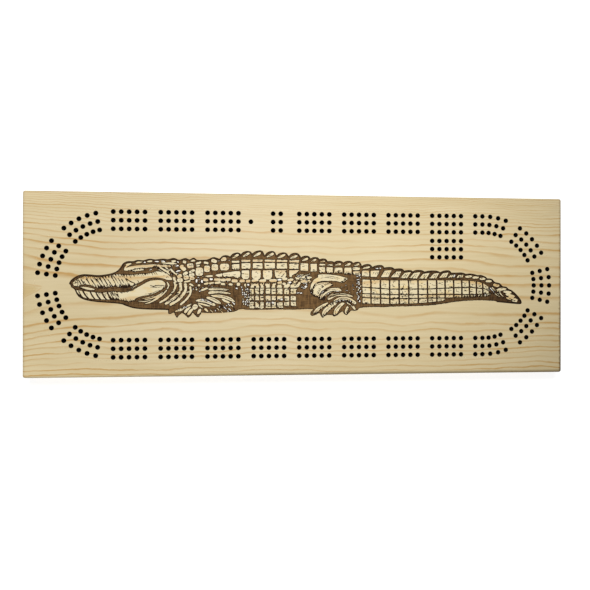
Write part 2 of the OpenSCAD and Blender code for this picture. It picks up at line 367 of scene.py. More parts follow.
def snout_and_jaws(art):
    uniform = art.rng.uniform
    art.clear_curves(head, """106,352 150,322 200,303 262,306 330,309 405,298 470,285 560,292
        640,284 740,277 800,262 842,268 900,292 926,328 888,331 830,315 762,312 704,326 658,350
        620,366 575,386 520,396 430,390 350,398 300,394 230,372 172,372 150,386 124,388 108,372;
        160,392 205,390 262,400 284,412 232,414 172,404;
        128,418 190,424 262,432 340,436 430,428 520,434 582,422 628,400 690,364 742,340 800,332
        846,338 868,362 858,396 810,424 745,452 680,462 640,476 612,496 560,508 500,496 420,494
        300,490 212,482 165,458""")
    # hatching on the muzzle
    art.ticks(head, """30,4.4,68,.7,.2,.6: 118,345 150,318 200,300 330,306 470,284;
        22,3.2,66,.7,.25,.6: 480,288 560,292 660,284 800,268;
        34,3,-104,.6,.3,.65: 150,386 230,376 300,398 380,396 470,388 580,386 655,350""")
    for x, y, length, w in table("""78.4,280.6,5.6,.95 81,280.2,6.6,.95 83.8,282,4.6,.7
            86.2,279.4,7.6,1 90.4,279.4,4.2,.6 91.4,280.2,7.4,.9 94.6,278.4,5.6,.9
            96.4,279.4,7.2,.8 99.4,278.6,6.6,1 102.8,277.8,10,1 107.6,279.6,8,.8
            111,276.8,8.8,.9 114.4,277.6,7.4,.6 117.8,278.4,6.6,.8 121.4,279.4,5.2,.7
            125.4,279,4.4,.8"""):
        art.stroke([(x, y), (x + 0.30 * length, y + 0.46 * length),
                    (x + 0.50 * length, y + 0.86 * length)], w * 1.08, 0.25, w * 0.95)
    for x, y, length in table("""108.4,275.2,2.6 111.8,274.6,3.2 114.8,274.2,3.4 117.6,274,3.8
            120.6,274,3.2 123.2,275.2,3.2 129,274.6,4.6 133.6,274.4,2.2 138.4,274.2,1.8"""):
        art.stroke([(x, y), (x + 0.45 * length, y + 0.9 * length)], 0.95, 0.15)
    art.strokes(plain, """.8,.2,.9: 125.8,278.6 130,281.6 136.4,284;
        .5,.3,.6: 74.8,282.2 77.6,283.6 77.2,286""")
    # nostril and gape
    art.strokes(head, """.5,.3: 106,366 118,358 128,362;
        1.1,.8,1.2: 98,384 150,390 215,414 300,428 380,424 450,408 530,410 590,400 640,378
        700,346 762,325 830,324 876,340""")
    art.scrapes(head, ".3,.2,.8: 588,402 612,386 634,372")
    art.ticks(head, "26,2.6,78,.75,.35,.6: 300,434 400,430 470,418 560,416 620,398")
    # slanting folds of the lower jaw
    for (w,), path in entries(plain, """.9: 75.4,291 77,294.6 80.2,298;
            .8: 78.3,291.4 80,295 83,298.4; 1.3: 82.4,291.2 84.8,295.2 88.2,299.2;
            1.2: 90,292.2 91.8,296 94.8,300; 1.25: 95.5,292.6 97.6,296.6 100.8,300.4;
            1.3: 101.3,292.2 103.4,296.4 106.4,300.4; 1.3: 106.7,292.2 109,296.4 112.2,300;
            .7: 110.3,293.6 112,296.8 114.6,299.8"""):
        art.stroke(path, w * 0.95, w * 1.0, w * 1.25)
    art.strokes(plain, """.4,.12: 86.4,293.6 87.6,296.4; .4,.12: 98.6,293.8 99.8,296.2;
        .4,.12: 104.6,294.4 105.6,296.6; .4,.12: 109.6,296.8 110.4,298.6""")
    # ragged edge under the pale jaw, and rags either side of the gape
    art.ticks(plain, """15,3.4,-118,1.15,.3,.6: 113,300.6 118,300.2 124,301.6 130,302.6 136,301.4;
        15,5.4,-124,1.5,.25,.6: 110,300.4 117,300.8 124,302.2 131,303 136,302.4;
        18,5.4,-166,1.4,.3,.6: 135,302.6 142,301.2 150,299.4 157,296.4 163,291.4;
        6,5.2,58,.7,.15,.3: 111,292.4 114,293.6 118,294.2""")
    art.ticks(plain, "12,1.3,-70,.6,.4,.5: 97,288.8 104,288.6 112,288.2 120,287.8 128,287",
              burned=False)
    art.strokes(plain, """1.7,1.4,3.1: 95.5,288.8 102,289.5 110,289.8 118,289.5 126,288.7
        132,287.4; .8,.8,2.6: 96,288.6 103,287.4 108,288.4 114,287.6 120,288.4 126,286.6
        131,286.4""")
    art.ticks(plain, """24,4.4,-114,1.5,.3,.65: 94,288 101,287.2 108,287.8 116,287.4 124,286.6
        130,285.8; 16,2.8,62,1.2,.35,.6: 96,290.4 104,291.2 114,291.8 124,291.2 132,289.6;
        20,3,-114,1.15,.3,.6: 99,288.8 106,288.4 114,288.2 122,288 131,286.8;
        14,1.9,62,.9,.4,.6: 108,291 116,291.2 124,291.2 131,289.8""")
    for x, y, length, lean, w in table("""136,299.4,5.5,-.45,.8 139.5,297.6,6.5,-.3,.9
            143,298.8,8,-.34,1 146,296.4,6,-.2,.8 150,297.2,7.5,-.42,.9 152,294.6,6,-.12,.7
            156,294.8,6,-.5,.9 160,292,4.5,-.75,.8 162.4,289.4,3.6,-1,.7 134,301,3.6,-.9,.9
            140,300.6,3.4,-.8,.9"""):
        cos, sin = math.cos(lean), math.sin(lean)
        art.stroke([(x, y), (x + 0.5 * length * cos, y + 0.5 * length * sin - 0.25),
                    (x + length * cos, y + length * sin)], w, 0.15, w * 0.9)
    # marks on the cheek
    art.strokes(head, """.15,.3,.75: 738,374 770,384 800,376 858,378;
        .1,.1,.35: 742,390 790,392 840,388; .2,.2,.6: 700,448 760,440 812,414;
        .5,.3,1: 640,476 700,464 748,452""")
    for k in range(9):
        x = 640 + k * 26
        art.stroke(head([(x, 492 - k * 7), (x + 34, 478 - k * 8)]), 0.9, 0.1)
    # pale folds under and behind the cheek
    art.scrapes(head, """1.3,.8,1.6: 884,352 896,378 884,404;
        .7,.6,2.1: 880,414 850,446 800,482 748,512 700,528;
        .4,.4,1.7: 690,496 762,480 812,458 852,428; .3,.3,1: 640,505 700,508 752,496;
        .2,.2,1: 668,486 720,478 776,462""")
    for y, x, count, w in ((352, 946, 8, 2.1), (362, 992, 8, 2.9), (368, 1034, 8, 3.1),
                           (392, 1074, 5, 2.4)):
        path = head([(x, y), (x + 2, y + 46), (x - 32, y + 98), (x - 78, y + 138),
                     (x - 122, y + 164)])
        path = curve(path[:5 if count > 5 else 4], steps=10)
        for k in range(count):
            first, last = int(k * len(path) / count), int((k + 0.86) * len(path) / count)
            if last - first < 2:
                continue
            start = w * uniform(0.85, 1.08)
            art.sweep(path[first:last + 1], start, w * uniform(0.65, 0.95), burned=False)
    for _ in range(34):
        t = art.rng.random()
        x = 960 + uniform(-10, 90) - 100 * t
        y = 400 + 120 * t + uniform(-16, 16)
        art.stroke(head([(x, y), (x + 20, y - 14)]), 0.35, 0.15)


def eye_and_brow(art):
    art.clear_curves(head, """536,250 562,226 620,214 700,208 770,204 800,206 780,224 730,232
        660,232 600,244 560,256; 596,250 640,240 690,240 680,252 620,258""")
    art.ticks(head, """9,2,180,.6,.35,.5: 800,206 760,228 690,236;
        14,1.1,-85,.45,.4,.5: 560,260 640,246 700,244 780,240""")
    art.clear_curves(plain, """124,270.4 124.9,267.2 127.3,264.8 130.8,263.5 131.4,264.4
        128.4,266 126.3,268 125.2,270.6""")
    for x, y, length in table("""134.6,269.8,1.5 137.2,269.9,1.2 139.6,269.6,1.7 142,269.3,1.3
            144.2,269,1.4"""):
        art.stroke([(x, y), (x + 0.5, y - length)], 0.75, 0.25)
    art.flecks(plain, "12,.5,1.4,.35,.6,12: 126,270.4 156,266.8 157,269.6 127,273")
    # small oval plates over and behind the eye: centre, half sizes, angle
    for x, y, a, b, angle in table("""546,222,18,7,-.9 566,203,24,7,-.2 655,186,30,7,-.15
            700,188,9,5,0 742,179,22,7,-.1 800,180,20,5,.05 852,178,18,5,.1 820,214,20,7,.25
            862,192,26,6,.1 872,214,20,7,.3 918,196,38,9,.05 905,218,14,6,.2 850,244,40,8,.6
            880,234,16,6,.7 888,268,30,7,.8 925,256,18,8,.8 940,176,22,6,0 960,286,12,6,.9
            946,320,9,16,.1 972,214,10,5,0 975,184,9,5,.5 902,250,8,5,.6"""):
        art.clear(head([turned(x, y, a * math.cos(u), b * math.sin(u), angle)
                        for u in np.arange(12) * math.pi / 6]))
    art.flecks(head, "30,.5,1.6,.3,.5,25: 790,200 980,185 990,300 830,290")
    art.flecks(head, "22,.6,2.4,.25,.45,40: 800,215 930,200 960,330 840,320", burned=True)


def neck(art):
    # rounded plates: centre, half sizes, angle, marks
    for x, y, a, b, angle, marks in table("""183,268.2,3.3,1.9,.8,2 190.4,266,3.1,2.2,-.1,5
            199.5,271.8,3.6,4.1,.05,7 185.4,273.8,2.5,1.4,-.6,1 179.6,276.4,2.3,1.6,-.5,1
            192,271.4,2.9,1.1,-.42,1 191.8,275.2,2.5,1.6,-.2,2 186.2,277.8,2.5,1.8,-.3,3
            180,280.4,2.7,1.6,-.1,1 192.2,278.6,2.4,1.3,-.1,2 187.2,281.5,3.2,.75,-.2,0
            196.6,281,.7,1.5,.1,0 207.1,268.9,2.8,3,.05,4 215,267.6,3.1,3,0,4
            224.7,267.2,4.4,3.2,0,5 198.6,263.3,2.5,.9,-.35,0 206.4,263.2,2.2,.9,.2,0
            198.4,266,1.6,.6,-.2,0 184.6,262.3,1.6,1.3,.3,1 193.4,260.9,2.3,.75,-.1,0
            214.3,261.2,2.7,1.6,.25,1 224,259.4,2.6,1.6,-.15,1 174,261.6,1.9,.6,0,0
            205.8,280,2.4,1.2,.1,0 211.4,279.4,1.4,.8,0,0 217.5,279.7,3.3,1.1,.05,0
            223.4,280.1,2.5,1.2,-.05,0 228.5,279.6,2.3,1.2,.1,0 234.6,281,2.9,1.5,.05,0
            206.2,283.8,2.2,.8,-.2,0 211.4,283.2,2.4,.85,-.15,0 217.7,282.8,2.9,.95,-.1,0
            222.9,284.1,2,.95,.1,0 230.8,284.6,1.9,.95,.05,0 238.5,284.3,1.6,1.5,0,0
            209.6,276.4,3.2,.7,-.1,0 236.6,288.4,.8,.6,0,0 204.3,289.4,3.2,.8,-.38,0
            191.4,285,2.1,.8,.45,0 199,285.6,.8,.9,.2,0 196.4,289.6,.6,.8,0,0
            202,281.4,.6,1.2,0,0"""):
        art.blob(x, y, a, b, angle, 0.6, marks)
    # glints on the back of the head and behind the jaw
    art.scrapes(plain, """.7,.9,1.7: 164.4,263 168,263.8 172,263.6 176.6,264.3;
        .6,.7,1.4: 157.2,266.4 161,266 164,266.8 168.4,266.4;
        .9,1.2,1.9: 170.6,269.4 172.6,271.4 175.2,274; .6,.8,1.4: 175.9,272.2 178,271.2 180.4,271;
        1.4,1.6,2.1: 173.4,277.6 174.2,279.6 176,282; .3,.3,.9: 163.6,270 167,271.6 170,274.4;
        .3,.3,.9: 158.6,269.6 163,272.4 168,275.4; .3,.2,.7: 160,268.4 165,269.8 169.6,271.6;
        1.2,1,1.5: 176.6,284.8 175.6,287 174.2,289.4""")
    art.flecks(plain, """18,.5,1.3,.3,.5,-10: 170,258 236,256 236,262 170,264;
        26,.4,1.2,.3,.55,0: 196,276 240,277 240,286 196,288""")


def back_and_flank(art):
    uniform = art.rng.uniform
    # leaf-shaped plates along the ridge: centre, half sizes, angle
    for row in table("""235.7,256.6,3.9,1.45,-.55 246.6,255,4.1,1.5,-.5
            257.5,254.9,4.3,1.55,-.5 270.6,255.4,4.4,1.6,-.5 281.8,256.5,4.5,1.5,-.42
            294,257.3,4.2,1.4,-.36 305.3,259.8,3.5,1.4,-.4 314,260.7,3,1.15,-.4
            323,261.7,2.8,.85,-.15 330.2,265.2,3,.95,.02 338.5,264.6,3.3,1.2,-.2
            348,264.8,3.3,1.3,-.35 357.2,264.9,3.1,1.2,-.4 366.6,267.8,4,1.15,-.22
            377.2,268.6,1.5,.6,0 380.4,268.3,.9,.7,0"""):
        art.leaf(*row, plain)

    def tile(x0, x1, y0, y1, lean, r, lines):
        art.plate(x0 * 10 + 1.7, y0 * 10 + 1.2, x1 * 10 - 1.7, y1 * 10 - 1.2, tenths,
                  lean * 10, r * 10, lines)

    # a bar, a plate and a large plate under each ridge plate: left, right, top, bottom
    for row in table("""231.9,239.8,261,263 241.5,250.8,259.8,262.2 252.9,263,259.8,262.1
            264.7,275.5,259.8,262.1 276.8,287.7,259.8,262.3 289.5,299.5,260.2,262.7"""):
        tile(*row, 0.1, 0.45, 1)
    for x0, x1, y0, y1 in table("""232,239.8,264.2,269.6 241.5,250.8,263.3,269
            252.9,263,263.2,268.8 264.7,275.5,263.1,268.8 276.8,287.5,263.3,268.8
            289.5,298.8,263.8,269.2 300.6,308.6,263.4,271 310.8,317.4,264,271.6
            319.5,325.6,263.9,265.7 319.2,325.4,266.9,272.6 326.7,333.2,267.3,273.2
            334.5,343,267.6,273 344.5,352,267.6,274.3 353,360.2,267.4,270.2
            353,360.2,271.3,274.8 362.2,369.5,270.4,276.4"""):
        tile(x0, x1, y0, y1, 0.0, 0.5, 4 if y1 - y0 > 3 else 1)
    for x0, x1, y0, y1, cut in table("""241.4,249.7,270.4,279.6,1.6 251.6,261.2,270.3,279.4,1.3
            262.8,272.6,270.2,279.8,2 274.6,286.8,270.2,278.6,1.8"""):
        art.clear([(x0 + 0.7, y0 + 0.6), (x1 - 0.6, y0 + 0.4), (x1 - 0.7, y1 - cut - 0.8),
                   (x1 - cut - 0.6, y1 - 0.5), (x0 + cut + 0.5, y1 - 0.6),
                   (x0 + 0.7, y1 - cut - 1.0)], 0.3)
        for _ in range(4):
            x, y = uniform(x0 + 0.8, x1 - 3.6), uniform(y0 + 1.2, y1 - 2.0)
            length = uniform(1.0, 3.4)
            line = [(x, y), (x + length, y + uniform(-0.3, 0.3))]
            art.stroke(line, uniform(0.25, 0.5), 0.12)
    for x, y in table("280.6,273 283.4,274.6 285.6,272 281.8,276.6"):
        art.stroke([(x, y), (x + 1.8, y - 1.2)], 0.9, 0.3)
    art.clear(table("289.6,270.6 299,270.4 296.6,272.8 292.6,275 291.4,277 289.8,276.6"), 0.2)
    art.clear_curves(plain, """223,273.6 228,272.6 239.6,271.4 239.8,277.2 236,278 233.6,276.2
        229.6,277.2 226.4,276 224.6,277.4;
        215.6,275.2 219,274.2 222.4,273.8 222,276.6 219.4,277.4 217.2,276.6""", steps=3)
    art.ticks(plain, """12,2.6,-80,.8,.5,.5: 216,278 224,278 232,278.4 239,278.2;
        5,2,180,.5,.3,.5: 224,274.4 230,275 237,274.6""")
    # small plates low on the flank: centre, half sizes
    for row in table("""242.4,281,2.7,1.4 248.2,281.2,2.2,1.3 255.2,280.4,3.5,1.35
            262.8,280.9,3.4,1.45 273.2,280.6,3.7,1.5 279.6,279.8,2,.8 285,279,2.4,1.3
            290.8,280,2.9,1.1 245.2,285,.9,1.1 248.3,284.8,.8,.8 255.3,284.8,1.8,.95
            261.3,284.6,.9,.9 267.2,284.9,1.7,1.1 273.9,284.6,1.2,.9 279.8,282.6,2.3,1.1
            284.2,283.8,1.6,1.1 288.6,285.2,1.3,1.5 294.8,282,1,1.2 297.6,278.6,1.6,.8
            303.6,277.2,1.4,.8 309,277.8,1.6,1 303.6,281.4,2.6,1.1 309,280.6,1.2,.7
            296.6,286.4,2.4,.9 306,286.6,1.1,.8 290,282.6,1.3,.7 299.4,283.4,1.2,.8"""):
        art.blob(*row, uniform(-0.3, 0.05), 0.8, 0)
    # plates above the hind leg
    art.ticks(trunk, "26,2.6,-85,.6,.5,.5: 780,330 900,332 1010,336 1100,340 1185,352")
    art.flecks(trunk, """42,.8,2.2,.4,.8,-25: 480,350 700,330 720,420 470,440;
        24,.6,2,.35,.9,-20: 520,420 660,400 650,540 560,520""")
    for row in table("""562,448,28,14,-.5 586,518,26,7,.05 646,408,20,8,.1 612,398,16,8,-.4
            550,410,22,8,-.7 690,366,16,8,.3 650,454,10,9,0"""):
        art.leaf(*row, trunk)


def belly(art):
    """A bending grid of plates."""
    uniform = art.rng.uniform
    left = [92, 148, 196, 250, 308, 362, 432, 494]
    right = [136, 188, 234, 300, 352, 420, 482, 550]
    middle_rows = [(476, 530), (546, 592), (606, 646)]
    for i in range(8):
        bow = (i - 3.5) * 2.2
        x0, x1 = left[i] - bow, right[i] - bow
        top = [(x0 + 16, 432 + 9), (x1 - 14, 432 + 5 + uniform(0, 8)), (x1 - 7, 470 - 5),
               (x0 + 6, 470 - 5)]
        art.clear(trunk(top), 0.35)
        x0, x1 = left[i], right[i]
        for y0, y1 in middle_rows:
            art.plate(x0 + 2.5, y0 + 1.5 + uniform(-2, 2), x1 - 2.5, y1 - 1.5 + uniform(-2, 2),
                      trunk, 0, 5, 4 if i > 1 else 7)
        if i < 6:
            art.plate(x0, 650, x1, 668 - i, trunk, 0, 3, 1)
    for _ in range(46):
        x, y = uniform(95, 545), uniform(440, 660)
        art.stroke(trunk([(x, y), (x + uniform(-3, 3), y + uniform(8, 22))]), 0.42, 0.15)
    for i in range(7):
        x = 142 + i * 58
        art.scrape(trunk([(x - 28, 438), (x - 22, 418 + uniform(-6, 6))]), 0.9, 0.5)
    # two ragged columns left of the grid
    for x in (243.0, 246.8):
        y = 287.0
        while y < 305.5:
            k = (y - 287) / 19
            for side in (-1.0, 1.0):
                if art.rng.random() < 0.75:
                    length, w, lean = uniform(0.5, 1.2), uniform(0.75, 1.2), uniform(-0.4, 0.4)
                    px = x + 1.6 * k + side * uniform(0.8, 1.2)
                    py = y + uniform(-0.3, 0.3)
                    art.scrape([(px - lean * length, py), (px + lean * length, py + length)],
                               w, w * 0.6)
            y += uniform(2.1, 2.8)
    art.flecks(plain, """6,.3,.8,.3,.5,60: 241,287 249,287 251.5,307 243.5,306;
        14,.5,1.6,.4,.8,0: 249,301 262,303 262,308.4 249,308""")


def foreleg(art):
    """Folds, forearm and toes."""
    art.clear_curves(head, """1224,406 1258,395 1330,399 1396,411 1380,419 1300,411 1240,416;
        1222,440 1246,421 1320,422 1400,438 1398,447 1310,438 1244,446;
        1246,455 1320,453 1392,468 1428,490 1442,512 1404,502 1340,480 1266,470;
        1214,468 1258,476 1308,500 1328,526 1292,522 1244,498 1210,482;
        1330,482 1370,496 1400,512 1392,522 1352,508;
        1118,504 1142,489 1192,489 1246,508 1284,538 1256,541 1204,520 1156,512;
        1128,518 1180,524 1238,544 1216,548 1166,536;
        940,594 958,580 1004,560 1052,538 1082,526 1066,544 1024,566 1002,584 968,590;
        1024,584 1052,558 1078,552 1062,574 1036,604 1024,600;
        1048,606 1070,574 1092,566 1096,578 1070,610 1054,618;
        1090,556 1100,534 1124,532 1136,548 1122,570 1102,574;
        1128,606 1140,576 1160,568 1162,584 1150,606 1136,612;
        1188,566 1204,566 1220,586 1216,594 1198,584; 1140,530 1162,542 1180,566 1166,560 1146,546
        """, steps=3)
    for path in groups(head, """1240,402 1310,402 1380,412; 1244,430 1320,430 1388,442;
            1290,460 1360,470 1420,496; 1230,478 1280,496 1316,520; 1150,500 1210,508 1262,532;
            1170,492 1230,504 1272,530; 960,586 1010,562 1060,540; 1100,548 1112,552 1128,548;
            1270,398 1330,404 1390,414"""):
        art.stroke(path, 0.15, 0.12, 0.42)
    art.ticks(head, """10,2.2,52,.5,.25,.4: 1150,488 1210,494 1270,522;
        9,1.5,70,.5,.25,.4: 960,580 1020,556 1080,530""")
    for x, y in table("1300,570 1358,560 1392,534 1414,540 1428,520 1330,590 1246,585 1398,572"):
        art.scrape(head([(x - 7, y - 8), (x + 10, y + 9)]), 0.6, 0.9)
    art.flecks(head, """14,.5,1.6,.3,.6,45: 1280,540 1440,520 1440,590 1260,596;
        10,.5,2,.3,.7,-25: 1085,360 1210,380 1200,440 1050,440""")
    art.scrapes(head, ".5,1: 1170,416 1220,402; 1,1.2: 1046,432 1066,428")


def hind_leg(art):
    art.clear_curves(trunk, """772,344 850,340 950,350 1044,374 1040,392 1004,414 960,404 900,396
        838,402 786,410 742,432 716,458 706,500 738,548 706,526 692,490 700,440 728,392 768,366;
        722,482 750,438 800,420 868,420 910,440 884,448 842,470 800,500 772,538 768,556 742,546
        716,516; 794,578 802,540 838,500 896,474 958,474 992,492 974,501 920,500 872,520 836,550
        826,582 808,582; 776,566 784,540 810,508 830,492 820,512 796,546 788,576;
        856,584 878,545 930,524 1012,526 1096,545 1102,554 1012,546 944,548 898,572;
        922,592 984,560 1058,562 1110,586 1138,616 1124,626 1082,602 1030,590 984,598 946,606
        """, steps=3, grow=0.25)
    art.clear_curves(trunk, """716,712 744,672 798,636 862,610 844,640 792,672 762,702 730,722;
        804,722 812,690 850,650 896,616 950,604 948,620 916,652 888,676 850,712 824,744 810,744;
        918,724 926,684 958,642 1000,612 1024,622 984,660 966,694 940,728;
        1032,716 1028,690 1046,650 1064,656 1060,692 1046,720;
        1038,604 1074,614 1096,640 1080,636 1052,622; 1088,640 1118,648 1134,676 1122,682 1102,662
        """, steps=3)
    for (w,), path in entries(trunk, """.7: 712,470 740,428 790,408 850,402 905,410;
            .4: 720,540 716,490 752,446 810,430 880,434; .6: 796,566 820,520 880,488 960,484;
            .7: 812,578 850,528 910,500 980,498; .8: 850,590 890,545 960,520 1060,524 1110,545;
            .35: 900,560 960,536 1030,538 1090,550; .5: 930,604 985,572 1050,574 1110,604;
            .5: 940,612 990,586 1040,590 1090,612; .4: 724,716 760,680 820,640;
            .45: 812,736 840,690 900,640; .45: 928,718 944,680 990,632;
            .3: 800,352 900,358 1000,382; .3: 770,380 850,368 960,384"""):
        art.stroke(path, 0.12, 0.15, w)
    art.ticks(trunk, """18,4,-66,.95,.25,.5: 692,496 712,540 760,572 830,592;
        10,3.4,200,.9,.3,.5: 1060,378 1046,400 1006,420 930,410;
        20,2.6,74,.85,.3,.4: 846,640 900,610 960,588 1050,586 1120,610;
        9,2.6,-66,.8,.3,.5: 724,724 760,706 800,672 850,640;
        9,2.8,-66,.8,.3,.5: 812,746 850,716 890,680 930,646;
        7,2.6,185,.5,.2,.4: 1040,374 1030,396 1000,412;
        14,2.6,-150,.7,.3,.4: 880,426 820,455 780,500 766,560;
        9,2.4,-10,.7,.5,.5: 868,410 900,442 870,462 810,500;
        12,2.4,-120,.8,.3,.5: 1010,520 960,508 880,524 830,590""")
    art.flecks(trunk, "12,.3,1,.3,.6: 930,430 1110,410 1120,540 980,500")
    art.ticks(plain, "14,4.6,-60,1.15,.2,.45: 310.8,291.2 312.6,295.2 316,298.2 320.4,299.8 326,299.6")
    art.strokes(plain, """.9,.3,.8: 319.2,297.4 321.6,293.8 326,290.6 331.6,289.4;
        .9,.3,.8: 323,298.4 325.6,294.8 330,291.8 336,290.6;
        .9,.3,.8: 330,297.4 334,295.2 340,294.2 348,294.8""")
    art.ticks(plain, """9,2.4,-118,1.1,.35,.5: 313.6,314.6 319,311.4 325.4,306.4;
        9,2.4,-120,1.1,.35,.5: 324.2,316 330.2,311.4 335.2,306.2;
        9,2.4,-125,1.1,.35,.5: 335.6,315 340.6,310.8 344.2,305.6;
        5,2.4,-160,1.1,.35,.5: 346.8,313.6 348.6,309.6 349.6,306;
        16,2.4,70,1.1,.35,.5: 330,304.6 338,301.4 346,301 353,305""")


def tail_ridge(art):
    def plates(text, grow, offsets, start, end, w):
        """Pale plates, each crossed by a slanting line at every offset."""
        for outline in groups(plain, text):
            art.clear(outline, grow)
            cx = sum(x for x, _ in outline) / len(outline)
            cy = sum(y for _, y in outline) / len(outline)
            for d in offsets:
                art.stroke([(cx + d + start[0], cy + start[1]), (cx + d + end[0], cy + end[1])],
                           w, 0.12)

    plates("""371.2,276.8 371,270.9 379.6,270.6 378.8,273.2 376.6,276.8;
        381.3,276.9 385,270.8 391.6,270.3 388.4,276.9; 391.4,277.1 396.4,271.8 401.4,271.4 398.8,277
        """, 0.15, (-2.0, 0.3, 2.2), start=(0.8, -1.4), end=(-0.7, 1.4), w=0.4)
    plates("""401.4,277.6 404.9,273.2 410.8,272.4 406.8,278;
        410.2,277.8 414.4,273.2 420.2,272.6 416.9,278.2; 420,278.2 423.8,274 429.4,273.2 426.4,278.4;
        430,278 434.2,273.8 439,273.2 436.6,278.2; 439.8,277.4 443.2,273.8 448.2,272.8 446.6,277;
        448.2,277.4 451,275.2 455.4,274.8 454.4,276.8;
        457,277.2 459.2,275.2 463.4,275 462.4,276.9 459.2,277.8
        """, 0.3, (-1.0, 0.8), start=(1.0, -1.0), end=(-0.9, 1.7), w=0.45)
    # plates towards the tip: centre, half sizes, angle
    for row in table("""468.8,276.4,3.4,.95,-.1 475.8,277.3,3,.95,-.1 482.8,278.6,2.8,1.1,-.05
            488.9,280.9,3.1,1.05,0 496.4,284.9,3,1.45,.15 502,288.9,4.4,1.2,-.12
            507.6,291.9,4,1.15,.12 510.2,295,4.6,1.2,.28 513.2,298.2,4.6,1,.36
            508.6,298.2,2.4,.6,.4 514.4,300.8,2.6,.6,.1"""):
        art.blob(*row, 0.85, 1)
    art.ticks(plain, """34,2.9,-66,.95,.25,.55: 396,278.4 420,279.2 440,279 464,278.4;
        36,1.8,-80,.9,.6,.6: 362,304.4 390,304.9 415,304.2 440,302""")


RING_X = [361.9, 371.1, 380.6, 389.8, 399.3, 408.9, 418.3, 427.7, 436.9, 445.3, 453.9, 462.0,
          469.6, 476.6, 482.9, 489.4]
# lines along the tail between which the four rows of plates lie
ROW_LINES = groups(plain, """360,278.9 390,279.9 437,279.7 462,279.8 476,280.5 483,282.4 490,286.6;
    360,286.9 390,289 430,288.8 450,287.7 470,287 483,288.4 490,290.2;
    360,293.3 390,294.5 430,294.2 450,294 470,294.4 490,293.5;
    360,297.3 390,298.5 430,297.9 450,297.7 470,297.2 490,296;
    360,303.6 390,304.2 410,303.8 430,302.5 445,300.6 460,299.2 470,298.4 490,296.6""")


def tail_rings(art):
    uniform = art.rng.uniform

    def height(k, x):
        return float(np.interp(x, *zip(*ROW_LINES[k])))

    gap, r = 0.52, 0.22
    for x0, x1 in zip(RING_X, RING_X[1:]):
        x0, x1 = x0 + 0.78, x1 - 0.76
        xm = (x0 + x1) / 2
        for k in range(4):
            top, bottom = height(k, xm) + gap, height(k + 1, xm) - gap
            if bottom - top < 0.9 or (k == 3 and bottom - top < 1.6 and xm > 440):
                continue
            lean = -0.35 * math.sin((xm - 380) / 60) * (1.5 - k) * 0.3
            art.clear([(x0 + r + lean, height(k, x0) + gap + r),
                       (x1 - r + lean, height(k, x1) + gap + r),
                       (x1 - r, height(k + 1, x1) - gap - r),
                       (x0 + r, height(k + 1, x0) - gap - r)], r)
            for _ in range(4 if k < 3 else 9):
                w = uniform(0.8, 3.6)
                x = uniform(x0 + 0.2, max(x1 - w, x0 + 0.3))
                y = uniform(top + 0.4, bottom - 0.3)
                line = [(x, y), (min(x + w, x1), y + uniform(-0.15, 0.15))]
                art.stroke(line, uniform(0.16, 0.4), 0.12)
            if art.rng.random() < 0.55:
                x = uniform(x0 + 1, x1 - 2)
                y = uniform(top + 0.8, max(bottom - 1.6, top + 0.9))
                art.stroke([(x, y), (x + 0.1, y + uniform(0.8, 2.4))], 0.5, 0.2)
    art.ticks(plain, "24,3.4,-85,1.1,.3,.6: 452,298.6 466,297.4 478,296.4 490,295.6 502,298")
    art.flecks(tail, "22,.5,1.8,.3,.6,45: 985,490 1110,500 1190,560 1000,570")
    art.scrapes(tail, """1,.3: 1050,500 1090,545; 1,.3: 1068,492 1104,530;
        1,.3: 1100,560 1150,590; 1,.3: 1150,552 1186,590""")
    for k in range(26):
        x, y, lean = uniform(1146, 1186), 340 + k * 10.5 + uniform(-4, 4), uniform(-1.3, 0.9)
        half = uniform(1, 6)
        dx, dy = half * math.cos(lean), half * math.sin(lean)
        art.scrape(trunk([(x - dx, y - dy), (x + dx, y + dy)]), uniform(0.5, 1.2),
                   uniform(0.4, 0.9))


def roughen(art):
    """Makes the edges inside the drawing ragged, with two sizes of smooth noise."""
    grit = np.random.RandomState(4)
    for pitch, size in ((0.75, 0.17), (1.9, 0.13)):
        rows = int((SHEET_Y1 - SHEET_Y0) / pitch) + 3
        columns = int((SHEET_X1 - SHEET_X0) / pitch) + 3
        noise = grit.uniform(-1, 1, (rows, columns))
        u, v = (art.x - SHEET_X0) / pitch, (art.y - SHEET_Y0) / pitch
        i, j = u.astype(int), v.astype(int)
        a, b = (u - i)[None, :], (v - j)[:, None]

        def across(row):
            return noise[row][:, i] * (1 - a) + noise[row][:, i + 1] * a

        grain = size * (across(j) * (1 - b) + across(j + 1) * b)
        art.field += np.where(np.abs(art.field) < 1.2, grain, 0)


def draw():
    """The finished sheet, and the field of the bare silhouette."""
    art = Sheet()
    silhouette(art)
    skin = art.field.copy()
    for part in (snout_and_jaws, eye_and_brow, neck, back_and_flank, belly, foreleg, hind_leg,
                 tail_ridge, tail_rings):
        part(art)
    # notched lower edges of the plates over the hind leg and along the flank
    art.rng = random.Random(29)
    art.ticks(plain, """19,2.3,-85,.95,.3,.6: 319,272.6 330,273 343,273.8 354,275;
        30,1.7,-85,.75,.3,.6: 231,269.7 262,269.5 300,269.9""")
    roughen(art)
    # one steady outline over everything
    art.sweep(curve(HEAD_TOP + SPINE + TAIL[:OUTLINED_TAIL], steps=4), 1.5, 1.5)
    art.stroke(THROAT[4:], 1.3, 1.2)
    art.field += 0.06
    return art, skin


